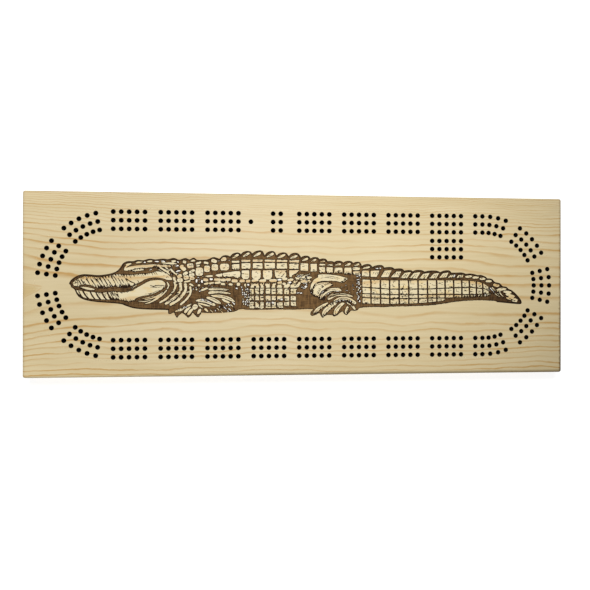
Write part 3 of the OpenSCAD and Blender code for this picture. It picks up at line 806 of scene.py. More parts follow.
# ---- outlines of the field --------------------------------------------------------------
def outlines(field, tolerance, smallest):
    """Closed outlines of field > 0 by marching squares, thinned, leaving out specks."""
    inside = field > 0
    columns, total = field.shape[1], field.size
    place = {}
    # where each grid edge is crossed; edges down the sheet are numbered after those across
    for di, dj, offset in ((1, 0, 0), (0, 1, total)):
        rows, cols = field.shape[0] - dj, columns - di
        cut = np.argwhere(inside[:rows, :cols] != inside[dj:, di:])
        a, b = field[cut[:, 0], cut[:, 1]], field[cut[:, 0] + dj, cut[:, 1] + di]
        for (j, i), u in zip(cut.tolist(), np.clip(a / (a - b), 0.1, 0.9).tolist()):
            place[offset + j * columns + i] = (SHEET_X0 + (i + u * di) * CELL,
                                               SHEET_Y0 + (j + u * dj) * CELL)
    mixed = (inside[:-1, :-1].astype(int) + inside[:-1, 1:] + inside[1:, :-1] + inside[1:, 1:])
    link = {}
    for j, i in np.argwhere((mixed > 0) & (mixed < 4)).tolist():
        top, bottom = j * columns + i, (j + 1) * columns + i
        left, right = total + j * columns + i, total + j * columns + i + 1
        cut = [edge for edge in (top, right, bottom, left) if edge in place]
        if len(cut) == 2:
            pairs = [cut]
        else:
            high = (field[j, i] + field[j, i + 1] + field[j + 1, i] + field[j + 1, i + 1]) > 0
            pairs = ([(left, bottom), (top, right)] if high == bool(inside[j, i])
                     else [(left, top), (bottom, right)])
        for p, q in pairs:
            link.setdefault(p, []).append(q)
            link.setdefault(q, []).append(p)
    loops, seen = [], set()
    for start in link:
        if start in seen:
            continue
        loop, here, last = [], start, None
        while here not in seen:
            seen.add(here)
            loop.append(here)
            p, q = link[here]
            last, here = here, q if p == last or (p in seen and q not in seen) else p
        path = np.array([place[edge] for edge in loop])
        x, y = path.T
        area = 0.5 * abs(np.dot(x, np.roll(y, 1)) - np.dot(y, np.roll(x, 1)))
        if len(path) > 5 and area > smallest:
            loops.append(thin(path, tolerance))
    return [loop for loop in loops if len(loop) > 2]


def thin(path, tolerance):
    """Douglas-Peucker on a closed line."""
    far = int(np.argmax(((path - path[0]) ** 2).sum(1)))
    keep = {0, far}
    closed = np.vstack([path, path[:1]])
    stack = [(0, far), (far, len(path))]
    while stack:
        a, b = stack.pop()
        if b - a < 2:
            continue
        d = closed[b] - closed[a]
        w = closed[a + 1:b] - closed[a]
        size = math.hypot(*d)
        if size > 1e-9:
            away = np.abs(w[:, 0] * d[1] - w[:, 1] * d[0]) / size
        else:
            away = np.hypot(w[:, 0], w[:, 1])
        m = int(np.argmax(away))
        if away[m] > tolerance:
            m += a + 1
            keep.add(m % len(path))
            stack += [(a, m), (m, b)]
    return path[sorted(keep)]


# ---- flat faces with holes --------------------------------------------------------------
def round_rect(length, width, r, grow=0.0):
    """Corner arcs, anticlockwise; grow moves the outline out about fixed corner centres."""
    out = []
    for sx, sy, start in ((1, 1, 0), (-1, 1, 90), (-1, -1, 180), (1, -1, 270)):
        for k in range(CORNER_STEPS + 1):
            a = math.radians(start + 90 * k / CORNER_STEPS)
            out.append((sx * (length / 2 - r) + (r + grow) * math.cos(a),
                        sy * (width / 2 - r) + (r + grow) * math.sin(a)))
    return out


def plank_outline(inset=EDGE_R):
    return round_rect(LENGTH, WIDTH, CORNER_R, -inset)


def ring(x, y, r, sides, turn=0.0):
    angles = [2 * math.pi * (k + turn) / sides for k in range(sides)]
    return [(x + r * math.cos(a), y + r * math.sin(a)) for a in angles]


def sides_of(triangle):
    a, b, c = triangle
    return (a, b), (b, c), (c, a)


def neighbours(triangles):
    """Which triangles lie at each edge."""
    near = {}
    for i, triangle in enumerate(triangles):
        for side in sides_of(triangle):
            near.setdefault((min(side), max(side)), []).append(i)
    return near


def fill(outer, openings, areas=(), cores=()):
    """Triangles inside outer and outside each opening. Returns points, triangles, a state for
    each (1 inside an area, 2 in the core of one, else 0) and where each loop's points went."""
    solid, area, core = 1, 2, 4
    points, edges, kind, spans = [], [], [], []
    for group, bit in (([outer, *openings], solid), (areas, area), (cores, core)):
        for loop in group:
            first, count = len(points), len(loop)
            points += [Vector((float(p[0]), float(p[1]))) for p in loop]
            edges += [(first + i, first + (i + 1) % count) for i in range(count)]
            kind += [bit] * count
            spans.append((first, count))
    verts, edges, faces, vert_from, edge_from, _ = delaunay_2d_cdt(points, edges, [], 0, 1e-7, True)
    verts = np.array([(p.x, p.y) for p in verts])
    place = {q: i for i, source in enumerate(vert_from) for q in source}
    # what changes when an edge is crossed: doubled area outlines cancel, doubled solid ones don't
    crossing = {}
    for edge, source in zip(edges, edge_from):
        kinds = [kind[q] for q in source]
        crossing[min(edge), max(edge)] = ((solid in kinds) * solid | kinds.count(area) % 2 * area
                                          | kinds.count(core) % 2 * core)
    # walk in from the outside
    faces = [tuple(face) for face in faces]
    near = neighbours(faces)
    state = [None] * len(faces)
    stack = []
    for key, who in near.items():
        if len(who) == 1 and state[who[0]] is None:
            state[who[0]] = crossing.get(key, 0)
            stack.append(who[0])
    while stack:
        i = stack.pop()
        for side in sides_of(faces[i]):
            key = (min(side), max(side))
            for j in near[key]:
                if state[j] is None:
                    state[j] = state[i] ^ crossing.get(key, 0)
                    stack.append(j)
    triangles, marks = [], []
    for face, bits in zip(faces, state):
        if bits and bits & solid:
            a, b, c = verts[list(face)]
            turn = (b[0] - a[0]) * (c[1] - a[1]) - (b[1] - a[1]) * (c[0] - a[0])
            triangles.append(face if turn > 0 else (face[0], face[2], face[1]))
            marks.append((2 if bits & core else 1) if bits & area else 0)
    return verts, triangles, marks, [[place[a + i] for i in range(m)] for a, m in spans]


class Solid:
    """Collects a mesh in millimetres."""

    def __init__(self):
        self.verts, self.faces, self.slots, self.smooth = [], [], [], []

    def add(self, points):
        first = len(self.verts)
        self.verts += [tuple(p) for p in points]
        return list(range(first, len(self.verts)))

    def level(self, outline, z):
        return self.add([(x, y, z) for x, y in outline])

    def face(self, corners, slot=0, smooth=False):
        self.faces.append(tuple(corners))
        self.slots.append(slot)
        self.smooth.append(smooth)

    def band(self, lower, upper, slot=0, smooth=True):
        """Quads between two rings, facing out when both run anticlockwise and upper is above."""
        for i in range(len(lower)):
            j = (i + 1) % len(lower)
            self.face((lower[i], lower[j], upper[j], upper[i]), slot, smooth)

    def build(self, name, materials):
        mesh = bpy.data.meshes.new(name)
        mesh.from_pydata([(x / 1000, y / 1000, z / 1000) for x, y, z in self.verts], [],
                         self.faces)
        for material in materials:
            mesh.materials.append(material)
        mesh.polygons.foreach_set("material_index", self.slots)
        mesh.polygons.foreach_set("use_smooth", self.smooth)
        mesh.update()
        mesh.validate()
        mesh.set_sharp_from_angle(angle=0.6)
        return link_object(name, mesh)


def link_object(name, data):
    thing = bpy.data.objects.new(name, data)
    bpy.context.scene.collection.objects.link(thing)
    return thing


# ---- the plank --------------------------------------------------------------------------
# material slots, in the order of the finishes
FACE, BURNED, BURNED_WALL, TOASTED, BORED, BORED_TIP, MILLED, BURNED_CORE, GLINT = range(9)


def hole_places():
    out = []
    for k in range(3):
        track = MIDDLE_TRACK + (k - 1) * TRACK_GAP
        for side, fives in ((1, (0, 1, 2, 4, 5, 6, 7)), (-1, range(8))):
            for g in fives:
                out += [(FIRST_X + (6 * g + i) * PITCH, side * track) for i in range(5)]
        for side in (1, -1):
            out += [(FIRST_X + (48 + i) * PITCH, side * track) for i in (0, 1)]
            for i in (0, 1, 2, 3, 4, 6, 7, 8, 9, 10):
                a = math.radians(9.05 + i * 6.83)
                out.append((-TURN_X - track * math.cos(a), side * track * math.sin(a)))
            for i in (0, 1, 2, 3, 4, 6, 7, 8):
                a = math.radians(28.6 + i * 6.92)
                out.append((TURN_X + track * math.cos(a), side * track * math.sin(a)))
        for i in range(-2, 3):
            a = math.radians(i * 6.92)
            out.append((TURN_X + track * math.cos(a), track * math.sin(a)))
        out += [(FIRST_X + u * PITCH, track) for u in (20.54, 21.54)]
        inner_row = MIDDLE_TRACK + TRACK_GAP - (3.08 + k) * TRACK_GAP
        out += [(FIRST_X + (42 + i) * PITCH, inner_row) for i in range(5)]
    out.append((FIRST_X + 17.62 * PITCH, MIDDLE_TRACK))
    return out


def sheet_to_board(path):
    q = np.c_[path, np.ones(len(path))] @ SHEET_TO_HOLES.T
    return np.c_[(q[:, 0] / q[:, 2] - CENTRE_COLUMN) * PITCH,
                 (CENTRE_ROW - q[:, 1] / q[:, 2]) * TRACK_GAP]


def board_to_sheet(path):
    q = np.c_[path[:, 0] / PITCH + CENTRE_COLUMN, CENTRE_ROW - path[:, 1] / TRACK_GAP,
              np.ones(len(path))] @ HOLES_TO_SHEET.T
    return q[:, :2] / q[:, 2:]


def pale_slots(verts, triangles, burned, art, skin, rng):
    """The slot of each unburned triangle: pale islands in the drawing are toasted, and some of the
    smallest get a painted glint of near-white, glossier wood."""
    centres = board_to_sheet(np.array([(verts[a] + verts[b] + verts[c]) / 3
                                       for a, b, c in triangles]))
    x, y = centres.T
    i = np.clip(((x - SHEET_X0) / CELL).astype(int), 0, len(art.x) - 1)
    j = np.clip(((y - SHEET_Y0) / CELL).astype(int), 0, len(art.y) - 1)
    off = (x < SHEET_X0) | (x > SHEET_X1) | (y < SHEET_Y0) | (y > SHEET_Y1)
    in_drawing = (skin[j, i] > -0.3) & ~off
    near = neighbours(triangles)
    island = [-1] * len(triangles)
    bright = []
    for first in range(len(triangles)):
        if island[first] >= 0 or burned[first] or not in_drawing[first]:
            continue
        island[first] = len(bright)
        stack, total, sx, sy = [first], 0.0, 0.0, 0.0
        while stack:
            here = stack.pop()
            (ax, ay), (bx, by), (cx, cy) = (verts[k] for k in triangles[here])
            area = 0.5 * abs((bx - ax) * (cy - ay) - (by - ay) * (cx - ax))
            total += area
            sx += area * centres[here][0]
            sy += area * centres[here][1]
            for side in sides_of(triangles[here]):
                for k in near[min(side), max(side)]:
                    if island[k] < 0 and not burned[k]:
                        island[k] = island[first]
                        stack.append(k)
        mx, my = sx / max(total, 1e-9), sy / max(total, 1e-9)
        # painted glints are likelier on the neck, the lower flank and beside the thigh
        flank = 184 < mx < 320 and my > 275.5 or 154 < mx < 184
        chance = 0.8 if flank or 350 < mx < 362 else 0.25
        bright.append(total < (3.4 if flank else 2.2) and rng.random() < chance)
    return [(GLINT if bright[n] else TOASTED) if inside and n >= 0 else FACE
            for inside, n in zip(in_drawing, island)]


def rounded_edge(solid, rim, z, inward):
    """Rings from a face's rim round the plank's edge; inward is -1 from the top, 1 from below."""
    rings = [rim]
    for k in range(1, EDGE_STEPS + 1):
        a = math.pi / 2 * k / EDGE_STEPS
        outline = plank_outline(EDGE_R * (1 - math.sin(a)))
        rings.append(solid.level(outline, z + inward * (EDGE_R * (1 - math.cos(a)))))
    for outer, inner in zip(rings[1:], rings):
        solid.band(*((outer, inner) if inward < 0 else (inner, outer)))
    return rings[-1]


def first_turn(point, x, y, sides):
    """Turn that starts a ring where the given point is."""
    return math.atan2(point[1] - y, point[0] - x) / (2 * math.pi) * sides


def make_board(materials):
    art, skin = draw()
    loops = [sheet_to_board(loop) for loop in outlines(art.field, 0.045, 0.03)]
    cores = [sheet_to_board(loop) for loop in outlines(art.field - 0.70, 0.09, 0.5)]
    holes = hole_places()
    rims = [ring(x, y, HOLE_R + RIM, HOLE_SIDES, 0.5 * (i % 2)) for i, (x, y) in enumerate(holes)]
    verts, triangles, burned, spans = fill(plank_outline(), rims, loops, cores)
    solid = Solid()
    rng = random.Random(5)
    top_of, floor_of = {}, {}

    def up(i):
        if i not in top_of:
            top_of[i] = solid.level([verts[i]], TOP)[0]
        return top_of[i]

    def down(i):
        if i not in floor_of:
            floor_of[i] = solid.level([verts[i]], TOP - BURN_DEPTH * rng.uniform(0.9, 1.1))[0]
        return floor_of[i]

    slots = pale_slots(verts, triangles, burned, art, skin, rng)
    owner = {}
    for triangle, mark, slot in zip(triangles, burned, slots):
        if mark:
            solid.face([down(i) for i in triangle], BURNED_CORE if mark == 2 else BURNED)
        else:
            solid.face([up(i) for i in triangle], slot)
        for side in sides_of(triangle):
            owner[side] = mark
    for (a, b), mark in owner.items():
        if mark and owner.get((b, a)) == 0:
            solid.face((down(b), down(a), up(a), up(b)), BURNED_WALL)
    side_top = rounded_edge(solid, [up(i) for i in spans[0]], TOP, -1)

    # underside, with the mouths of the pocket and the screw pilots
    mouths = [round_rect(POCKET_LENGTH, POCKET_WIDTH, POCKET_R, POCKET_MOUTH)]
    mouths += [ring(x, y, PILOT_SINK_R, PILOT_SIDES) for x, y in PILOTS]
    low_verts, low_triangles, _, low_spans = fill(plank_outline(), mouths)
    under = solid.level(low_verts, BASE)
    for a, b, c in low_triangles:
        solid.face((under[a], under[c], under[b]))
    low_rims = [[under[i] for i in span] for span in low_spans]
    side_bottom = rounded_edge(solid, low_rims[0], BASE, 1)
    solid.band(side_bottom, side_top)

    # peg holes: rim, wall and the drill's cone
    for (x, y), span in zip(holes, spans[1:]):
        turn = first_turn(verts[span[0]], x, y, HOLE_SIDES)
        edge = [up(i) for i in span]
        bore = ring(x, y, HOLE_R, HOLE_SIDES, turn)
        wall = solid.level(bore, TOP - RIM_DEPTH)
        foot = solid.level(bore, TOP - HOLE_DEPTH)
        tip = solid.add([(x, y, TOP - HOLE_DEPTH - TIP_DEPTH)])[0]
        solid.band(edge, wall, BORED)
        solid.band(wall, foot, BORED)
        for i in range(HOLE_SIDES):
            solid.face((foot[i], foot[(i + 1) % HOLE_SIDES], tip), BORED_TIP, True)

    # pocket
    previous = low_rims[1]
    for grow, z in ((0.0, POCKET_MOUTH), (0.0, POCKET_DEPTH - POCKET_CHAMFER),
                    (-POCKET_CHAMFER, POCKET_DEPTH)):
        outline = round_rect(POCKET_LENGTH, POCKET_WIDTH, POCKET_R, grow)
        now = solid.level(outline, BASE + z)
        solid.band(now, previous, MILLED)
        previous = now
    solid.face(previous[::-1], MILLED)

    # screw pilots
    for (x, y), span, previous in zip(PILOTS, low_spans[2:], low_rims[2:]):
        turn = first_turn(low_verts[span[0]], x, y, PILOT_SIDES)
        for r, z in ((PILOT_SINK_R, PILOT_SINK_DEPTH), (PILOT_R, PILOT_SINK_DEPTH),
                     (PILOT_R, PILOT_DEPTH)):
            now = solid.level(ring(x, y, r, PILOT_SIDES, turn), BASE + z)
            solid.band(now, previous, MILLED, False)
            previous = now
        solid.face(previous[::-1], MILLED)
    return solid.build("board_pine", materials)


# ---- finishes ---------------------------------------------------------------------------
class Value:
    """A node's output that can be added and multiplied. Taking away a number adds its negative."""

    def __init__(self, graph, socket):
        self.graph, self.socket = graph, socket

    def __add__(self, other):
        return self.graph.math("ADD", self, other)

    def __radd__(self, other):
        return self.graph.math("ADD", other, self)

    def __sub__(self, number):
        return self + -number

    def __mul__(self, other):
        return self.graph.math("MULTIPLY", self, other)


class Nodes:
    """A material's node tree. Inputs take numbers, colours or Values."""

    def __init__(self, name):
        self.material = bpy.data.materials.new(name)
        self.material.use_nodes = True
        self.tree = self.material.node_tree
        self.shader = self.tree.nodes["Principled BSDF"]

    def put(self, socket, value):
        if isinstance(value, Value):
            self.tree.links.new(value.socket, socket)
        elif isinstance(value, tuple) and socket.type == "RGBA":
            socket.default_value = (*value, 1)
        else:
            socket.default_value = value

    def make(self, kind, inputs=(), output=0, **settings):
        """A new node's output. Inputs are a dictionary, or a sequence from the first socket."""
        node = self.tree.nodes.new("ShaderNode" + kind)
        for key, value in settings.items():
            setattr(node, key, value)
        for key, value in inputs.items() if isinstance(inputs, dict) else enumerate(inputs):
            self.put(node.inputs[key], value)
        return Value(self, node.outputs[output])

    def math(self, operation, a, b=0.0):
        return self.make("Math", (a, b, 0.0), operation=operation)

    def step(self, x, a, b):
        """0 below a, 1 above b, smooth between; a > b turns it over."""
        ends = (a, b, 0.0, 1.0) if a <= b else (b, a, 1.0, 0.0)
        return self.make("MapRange", (x, *ends), interpolation_type="SMOOTHSTEP", clamp=True)

    def span(self, x, a, b, at_a, at_b):
        return self.make("MapRange", (x, a, b, at_a, at_b), clamp=True)

    def wave(self, x, period):
        return 0.5 + self.math("SINE", x * (2 * math.pi / period)) * 0.5

    def mix(self, factor, a, b, blend="MIX"):
        return self.make("Mix", {"Factor": factor, 6: a, 7: b}, 2, data_type="RGBA",
                         blend_type=blend)

    def shade(self, factor, colour, tint):
        return self.mix(factor, colour, tint, "MULTIPLY")

    def place(self):
        """Object coordinates in millimetres."""
        metres = self.make("TexCoord", output="Object")
        return self.make("VectorMath", {0: metres, "Scale": 1000}, operation="SCALE")

    def parts(self, vector):
        x = self.make("SeparateXYZ", (vector,))
        return x, *(Value(self, x.socket.node.outputs[i]) for i in (1, 2))

    def join(self, x, y, z):
        return self.make("CombineXYZ", (x, y, z))

    def noise(self, vector, stretch=None, detail=2.0, rough=0.5, warp=0.0):
        if stretch:
            vector = self.make("VectorMath", (vector, stretch), operation="MULTIPLY")
        return self.make("TexNoise", {"Vector": vector, "Scale": 1.0, "Detail": detail,
                                      "Roughness": rough, "Distortion": warp})

    def bump(self, height, strength, mm):
        normal = self.make("Bump", {"Height": height, "Strength": strength,
                                    "Distance": mm / 1000})
        self.put(self.shader.inputs["Normal"], normal)

    def finish(self, **inputs):
        for key, value in inputs.items():
            self.put(self.shader.inputs[key.replace("_", " ")], value)
        return self.material


def srgb(*rgb):
    return tuple((c / 255 / 12.92) if c < 11 else ((c / 255 + 0.055) / 1.055) ** 2.4 for c in rgb)


# heights across the board, from the front edge, where the late wood of each year shows
RINGS = (-74, -69.5, -66, -62.4, -57.8, -52.6, -49.4, -44.2, -40.4, -33.6, -28.8, -22.4, -9.6,
         2.6, 10.8, 18.2, 25.2, 30.2, 35.0, 40.3, 43.8, 46.6, 49.2, 51.8, 54.2, 56.4, 58.4, 60.2,
         61.9, 63.5, 65.1, 66.6, 68.2, 69.9, 72, 75)
RINGS_LOW, RINGS_HIGH = -76.0, 76.0
PALE, PALER, PALE_CLOUD = srgb(221, 203, 159), srgb(228, 211, 170), srgb(216, 196, 149)
LATE_WOOD = srgb(202, 162, 98)
HALF_LENGTH, HALF_WIDTH = 209.5, 69.85


def growth_phase(g, w):
    """Counts the years from the front edge, by a curve through RINGS."""
    years = g.make("FloatCurve")
    node = years.socket.node
    points = node.mapping.curves[0].points
    last = len(RINGS) - 1
    spots = [((r - RINGS_LOW) / (RINGS_HIGH - RINGS_LOW), i / last) for i, r in enumerate(RINGS)]
    points[0].location, points[1].location = spots[0], spots[-1]
    for spot in spots[1:-1]:
        points.new(*spot)
    for point in points:
        point.handle_type = "VECTOR"
    node.mapping.update()
    g.put(node.inputs["Value"], g.span(w, RINGS_LOW, RINGS_HIGH, 0.0, 1.0))
    return years * float(last)


def pine_colour(g, toast=0.0):
    """Flat-sawn pine: pale early wood, thin honey lines of late wood, fibres, and the point of
    a growth cone at the left end. Returns colour, late wood, height, place and fibre."""
    p = g.place()
    x, y, z = g.parts(p)
    # the lines wander along the board and turn down into it towards the sides
    slow = g.noise(p, (0.011, 0.022, 0.03), rough=0.45)
    quick = g.noise(p, (0.05, 0.11, 0.1))
    fine = g.noise(p, (0.25, 0.5, 0.5), detail=1.0)
    # towards the left end the lines part round the point of a growth cone
    off_cone = y + 2.0
    far = g.math("ABSOLUTE", off_cone)
    fall = g.math("POWER", 2.718, (x + HALF_LENGTH) * -0.026)
    part = g.math("MINIMUM", fall, 1.0) * 11.5 * g.span(far, 25.0, 72.0, 1.0, 0.1)
    y_apart = g.math("SIGN", off_cone) * g.math("MAXIMUM", far + part * -1.0, 0.0) - 2.0
    depth = 24.0 + z * -1.0
    sink = depth * (g.math("ABSOLUTE", y) * 0.006)
    side = g.math("SIGN", y)
    sway = g.math("MINIMUM", g.span(y, 36.0, 0.0, 8.0, 21.0), g.span(y, -38.0, -66.0, 21.0, 9.0))
    w = y_apart + (slow - 0.5) * sway + ((quick - 0.5) * 3.2 + (fine - 0.5) * 0.6)
    w = w + sink * side
    phase = growth_phase(g, w)
    fraction = g.math("FRACT", phase + 0.5)
    year = g.math("FLOOR", phase + 0.5)
    # a ramp up into each line and a sharper drop after it
    off = fraction - 0.5
    rise = g.step(off, -0.40, 0.03)
    drop = g.step(off, 0.17, 0.03)
    late = g.math("POWER", rise, 2.3) * drop
    # lines differ in strength from year to year and along the board
    chance = g.make("TexWhiteNoise", {"W": year}, "Value", noise_dimensions="1D")
    vary = 0.55 + chance * 0.62
    along = g.noise(g.join(x * 0.016, year * 3.7, 0.0), detail=3.0, rough=0.6)
    along = g.step(along, 0.30, 0.66)
    ends = g.span(g.math("ABSOLUTE", x - 20.0), 50.0, 180.0, 0.72, 1.12)
    late = late * ends * (vary * (0.25 + along * 0.9))
    # growth cone at the left end
    inside = g.span(x, -194.0, -HALF_LENGTH, 0.0, 1.0)
    away = g.math("ABSOLUTE", y + 2.2 + inside * 2.4 + (quick - 0.5) * 3.5) + inside * -5.4
    tip = g.step(g.math("ABSOLUTE", away), 0.9, 0.1) * g.step(inside, 0.02, 0.2) * 0.45
    heart = g.step(away, 0.3, -1.6) * g.step(inside, 0.05, 0.5)
    late = g.math("MAXIMUM", late, tip)
    # fibres and pores
    fibre = g.noise(p, (0.06, 2.6, 2.6), detail=4.0, rough=0.62)
    hair = g.noise(p, (0.22, 7.0, 7.0), rough=0.6)
    streak = g.noise(p, (0.012, 0.35, 0.35), detail=3.0, rough=0.55)
    cloud = g.noise(p, (0.012, 0.02, 0.02))
    pore = g.step(g.noise(p, (0.35, 6.0, 6.0), detail=1.0), 0.68, 0.78) * 0.5
    col = g.mix(g.step(streak, 0.3, 0.7), PALE, PALER)
    col = g.mix(g.step(cloud, 0.35, 0.7) * 0.35, col, PALE_CLOUD)
    col = g.mix(late * 0.95, col, LATE_WOOD)
    col = g.mix(heart * 0.5, col, srgb(206, 176, 112))
    col = g.shade(1.0, col, g.mix(fibre, (0.90, 0.88, 0.85), (1.08, 1.09, 1.10)))
    col = g.shade(1.0, col, g.mix(hair, (0.965, 0.96, 0.95), (1.03, 1.03, 1.03)))
    col = g.shade(pore, col, (0.80, 0.74, 0.66))
    # the plank's tone shifts a little from end to end: partly the wood's own tone, partly painted
    # light and shade for the lamp's falloff across the board
    u, v = x * (1 / HALF_LENGTH), y * (1 / HALF_WIDTH)
    tone_and_falloff = u * (0.17 + u * u * -0.207) + u * v * (0.057 + v * -0.074)
    tone_and_falloff = tone_and_falloff + v * (u * u * 0.03 + v * v * -0.05)
    tone_and_falloff = 0.99 + tone_and_falloff
    col = g.shade(1.0, col, g.join(tone_and_falloff, tone_and_falloff, tone_and_falloff))
    if toast:
        patches = g.noise(p, (0.14, 0.30, 0.3), detail=3.0, rough=0.6)
        col = g.shade(1.0, col, (1.12, 1.165, 1.25))
        col = g.shade(g.step(patches, 0.48, 0.72) * toast, col, (0.99, 0.86, 0.60))
    height = late * 0.6 + (fibre * 0.6 + hair * 0.5)
    return col, late, height, p, fibre


def pine(name, toast=0.0, tone=None, rough=0.5):
    g = Nodes(name)
    col, late, height, p, fibre = pine_colour(g, toast)
    if tone:
        col = g.mix(0.86, col, tone)
    if not toast and not tone:
        # end grain darkens the last of the edge, with painted shade making it strongest at the right
        # end and towards the front
        x, y, z = g.parts(p)
        fray = (g.noise(p, (0.3, 0.35, 0.5), detail=3.0, rough=0.6) - 0.5) * 1.9
        end = g.math("ABSOLUTE", x) + fray
        side = g.span(x, -200.0, 200.0, 0.15, 1.0) * g.span(y, 60.0, -40.0, 0.45, 1.0)
        col = g.shade(g.step(end, 206.8, 208.4) * side, col, (0.34, 0.29, 0.22))
        # painted shade along the rounded front edge, growing towards the right
        front = y * -1.0 + fray * 0.3
        front_shade = g.step(front, 66.8, 68.9) * g.span(x, -150.0, -20.0, 0.1, 0.9)
        col = g.shade(front_shade, col, (0.46, 0.43, 0.38))
    g.bump(height, strength=0.35, mm=0.07)
    return g.finish(Base_Color=col, Roughness=rough + (late * -0.10 + fibre * 0.10),
                    Coat_Weight=0.06, Coat_Roughness=0.35, IOR=1.45)


def burned(name, deep=False, core=False):
    """Wood darkened by a beam that ran to and fro along the board: darkest along the edges of
    a mark, browner in the core of a broad one."""
    g = Nodes(name)
    p = g.place()
    x, y, z = g.parts(p)
    wobble = g.noise(p, (0.4, 0.4, 0.4), detail=1.0)
    line = g.wave(y + wobble * 0.12, period=0.42)
    dash = g.noise(p, (0.35, 3.2, 1.0), detail=3.0, rough=0.65)
    cross = g.noise(p, (2.2, 0.5, 1.0), rough=0.6)
    grain = g.noise(p, (0.02, 0.45, 0.45), detail=3.0, rough=0.6)
    blot = g.noise(p, (0.10, 0.13, 0.1))
    tone = dash * 0.45 + (line * 0.22 + (cross * 0.22 + (grain * 0.26 + blot * 0.22)))
    if core:
        # the passes show as a weave of darker and paler streaks
        up = g.noise(p, (0.95, 0.16, 1.0), detail=1.0)
        along = g.noise(p, (0.16, 0.95, 1.0), detail=1.0)
        tone = g.step(tone + ((up - 0.5) * 0.8 + (along - 0.5) * 0.55), 0.30, 1.04)
        tone = tone + g.step(x, -55.0, -35.0) * g.step(x, 70.0, 50.0) * 0.17
        dark, pale = srgb(54, 36, 18), srgb(126, 95, 57)
    else:
        tone = g.step(tone, 0.42, 0.92)
        dark, pale = srgb(22, 11, 2), srgb(53, 33, 13)
        if deep:
            dark, pale = srgb(44, 29, 14), srgb(82, 58, 32)
    col = g.mix(tone, dark, pale)
    if not deep:
        # where the beam was weak the wood keeps some of its colour
        weak = g.step(g.noise(p, (0.8, 1.9, 1.0), rough=0.6), 0.70, 0.84)
        col = g.mix(weak * 0.5, col, srgb(190, 156, 108))
    # the beam bit deeper towards the tip of the tail
    col = g.shade(g.step(x, 40.0, 70.0) * 0.75, col, (0.84, 0.82, 0.80))
    col = g.shade(g.step(x, 130.0, 172.0), col, (0.52, 0.48, 0.46))
    g.bump(line * 0.5 + (dash + cross * 0.5), strength=0.6, mm=0.10)
    return g.finish(Base_Color=col, Roughness=0.72 + dash * 0.16, IOR=1.4,
                    Specular_IOR_Level=0.25)


def bored(name):
    """Drilled wall, dark brown near the rim and going black with depth as painted shade inside the
    bore.
    """
    g = Nodes(name)
    p = g.place()
    x, y, z = g.parts(p)
    turns = g.wave(z, period=0.55)
    fuzz = g.noise(p, (2.0, 2.0, 0.8), detail=3.0, rough=0.6)
    depth = TOP + z * -1.0 + (fuzz - 0.5) * 0.25
    # painted shade: the wall darkens from the rim down to black
    col = g.mix(g.step(depth, 0.0, 0.3), srgb(26, 17, 10), srgb(13, 10, 6))
    col = g.mix(g.step(depth, 0.6, 3.0), col, srgb(8, 6, 4))
    col = g.shade(fuzz * 0.5, col, (0.6, 0.6, 0.6))
    g.bump(turns * 0.5 + fuzz, strength=0.4, mm=0.08)
    return g.finish(Base_Color=col, Roughness=0.75 + fuzz * 0.15, Specular_IOR_Level=0.2)


def milled(name):
    """Routed pocket: fresh wood with the cutter's arcs."""
    g = Nodes(name)
    col, late, height, p, fibre = pine_colour(g)
    x, y, z = g.parts(p)
    arc = g.math("SQRT", g.math("POWER", g.math("PINGPONG", x, 4.5) + 6.0, 2.0) + y * y)
    mark = g.wave(arc, period=1.3)
    col = g.shade(mark * 0.16, col, (0.78, 0.70, 0.58))
    col = g.shade(1.0, col, (0.93, 0.90, 0.86))
    g.bump(height + mark * 0.7, strength=0.4, mm=0.08)
    return g.finish(Base_Color=col, Roughness=0.62 + mark * 0.08)


def metal(name, colour, dark, rough, wear, brushed=None, turns=None):
    """Metal with drawn marks, or turned ones round an axis along y, and a little tarnish."""
    g = Nodes(name)
    p = g.place()
    if turns:
        x, y, z = g.parts(p)
        marks = g.noise(g.join(y * turns, 0.0, 0.0), detail=3.0, rough=0.7)
        brush = g.noise(p, (0.8, 9.0, 0.8), rough=0.6)
    else:
        marks = g.noise(p, brushed, detail=4.0, rough=0.65)
        brush = g.noise(p, (brushed[0] * 4, brushed[1] * 3, brushed[2] * 3), rough=0.6)
    film = g.noise(p, (0.13, 0.13, 0.13), detail=3.0, rough=0.6)
    spot = g.step(g.noise(p, (0.9, 0.9, 0.9), detail=3.0, rough=0.7), 0.62, 0.75)
    scratch = g.step(g.noise(p, (0.35, 5.0, 1.6), warp=0.6), 0.70, 0.76)
    col = g.mix(g.step(film, 0.42, 0.72) * wear, colour, dark)
    col = g.mix(spot * (wear * 0.5), col, dark)
    col = g.shade(marks * 0.22, col, (0.86, 0.86, 0.86))
    roughness = rough + ((marks - 0.5) * 0.22 + ((film - 0.5) * 0.18 + scratch * 0.12))
    g.bump(marks + brush * 0.5 + scratch * -0.7, strength=0.25, mm=0.03)
    return g.finish(Base_Color=col, Metallic=1.0, Roughness=g.math("MAXIMUM", roughness, 0.08))


def rubber(name):
    g = Nodes(name)
    p = g.place()
    grain = g.noise(p, (2.5, 2.5, 2.5), detail=3.0, rough=0.65)
    dust = g.step(g.noise(p, (0.35, 0.35, 0.5), detail=4.0, rough=0.65), 0.52, 0.75)
    col = g.mix(grain, srgb(30, 30, 31), srgb(46, 45, 45))
    col = g.mix(dust * 0.35, col, srgb(104, 99, 92))
    g.bump(grain, strength=0.45, mm=0.06)
    return g.finish(Base_Color=col, Roughness=0.62 + grain * 0.2, Specular_IOR_Level=0.35)


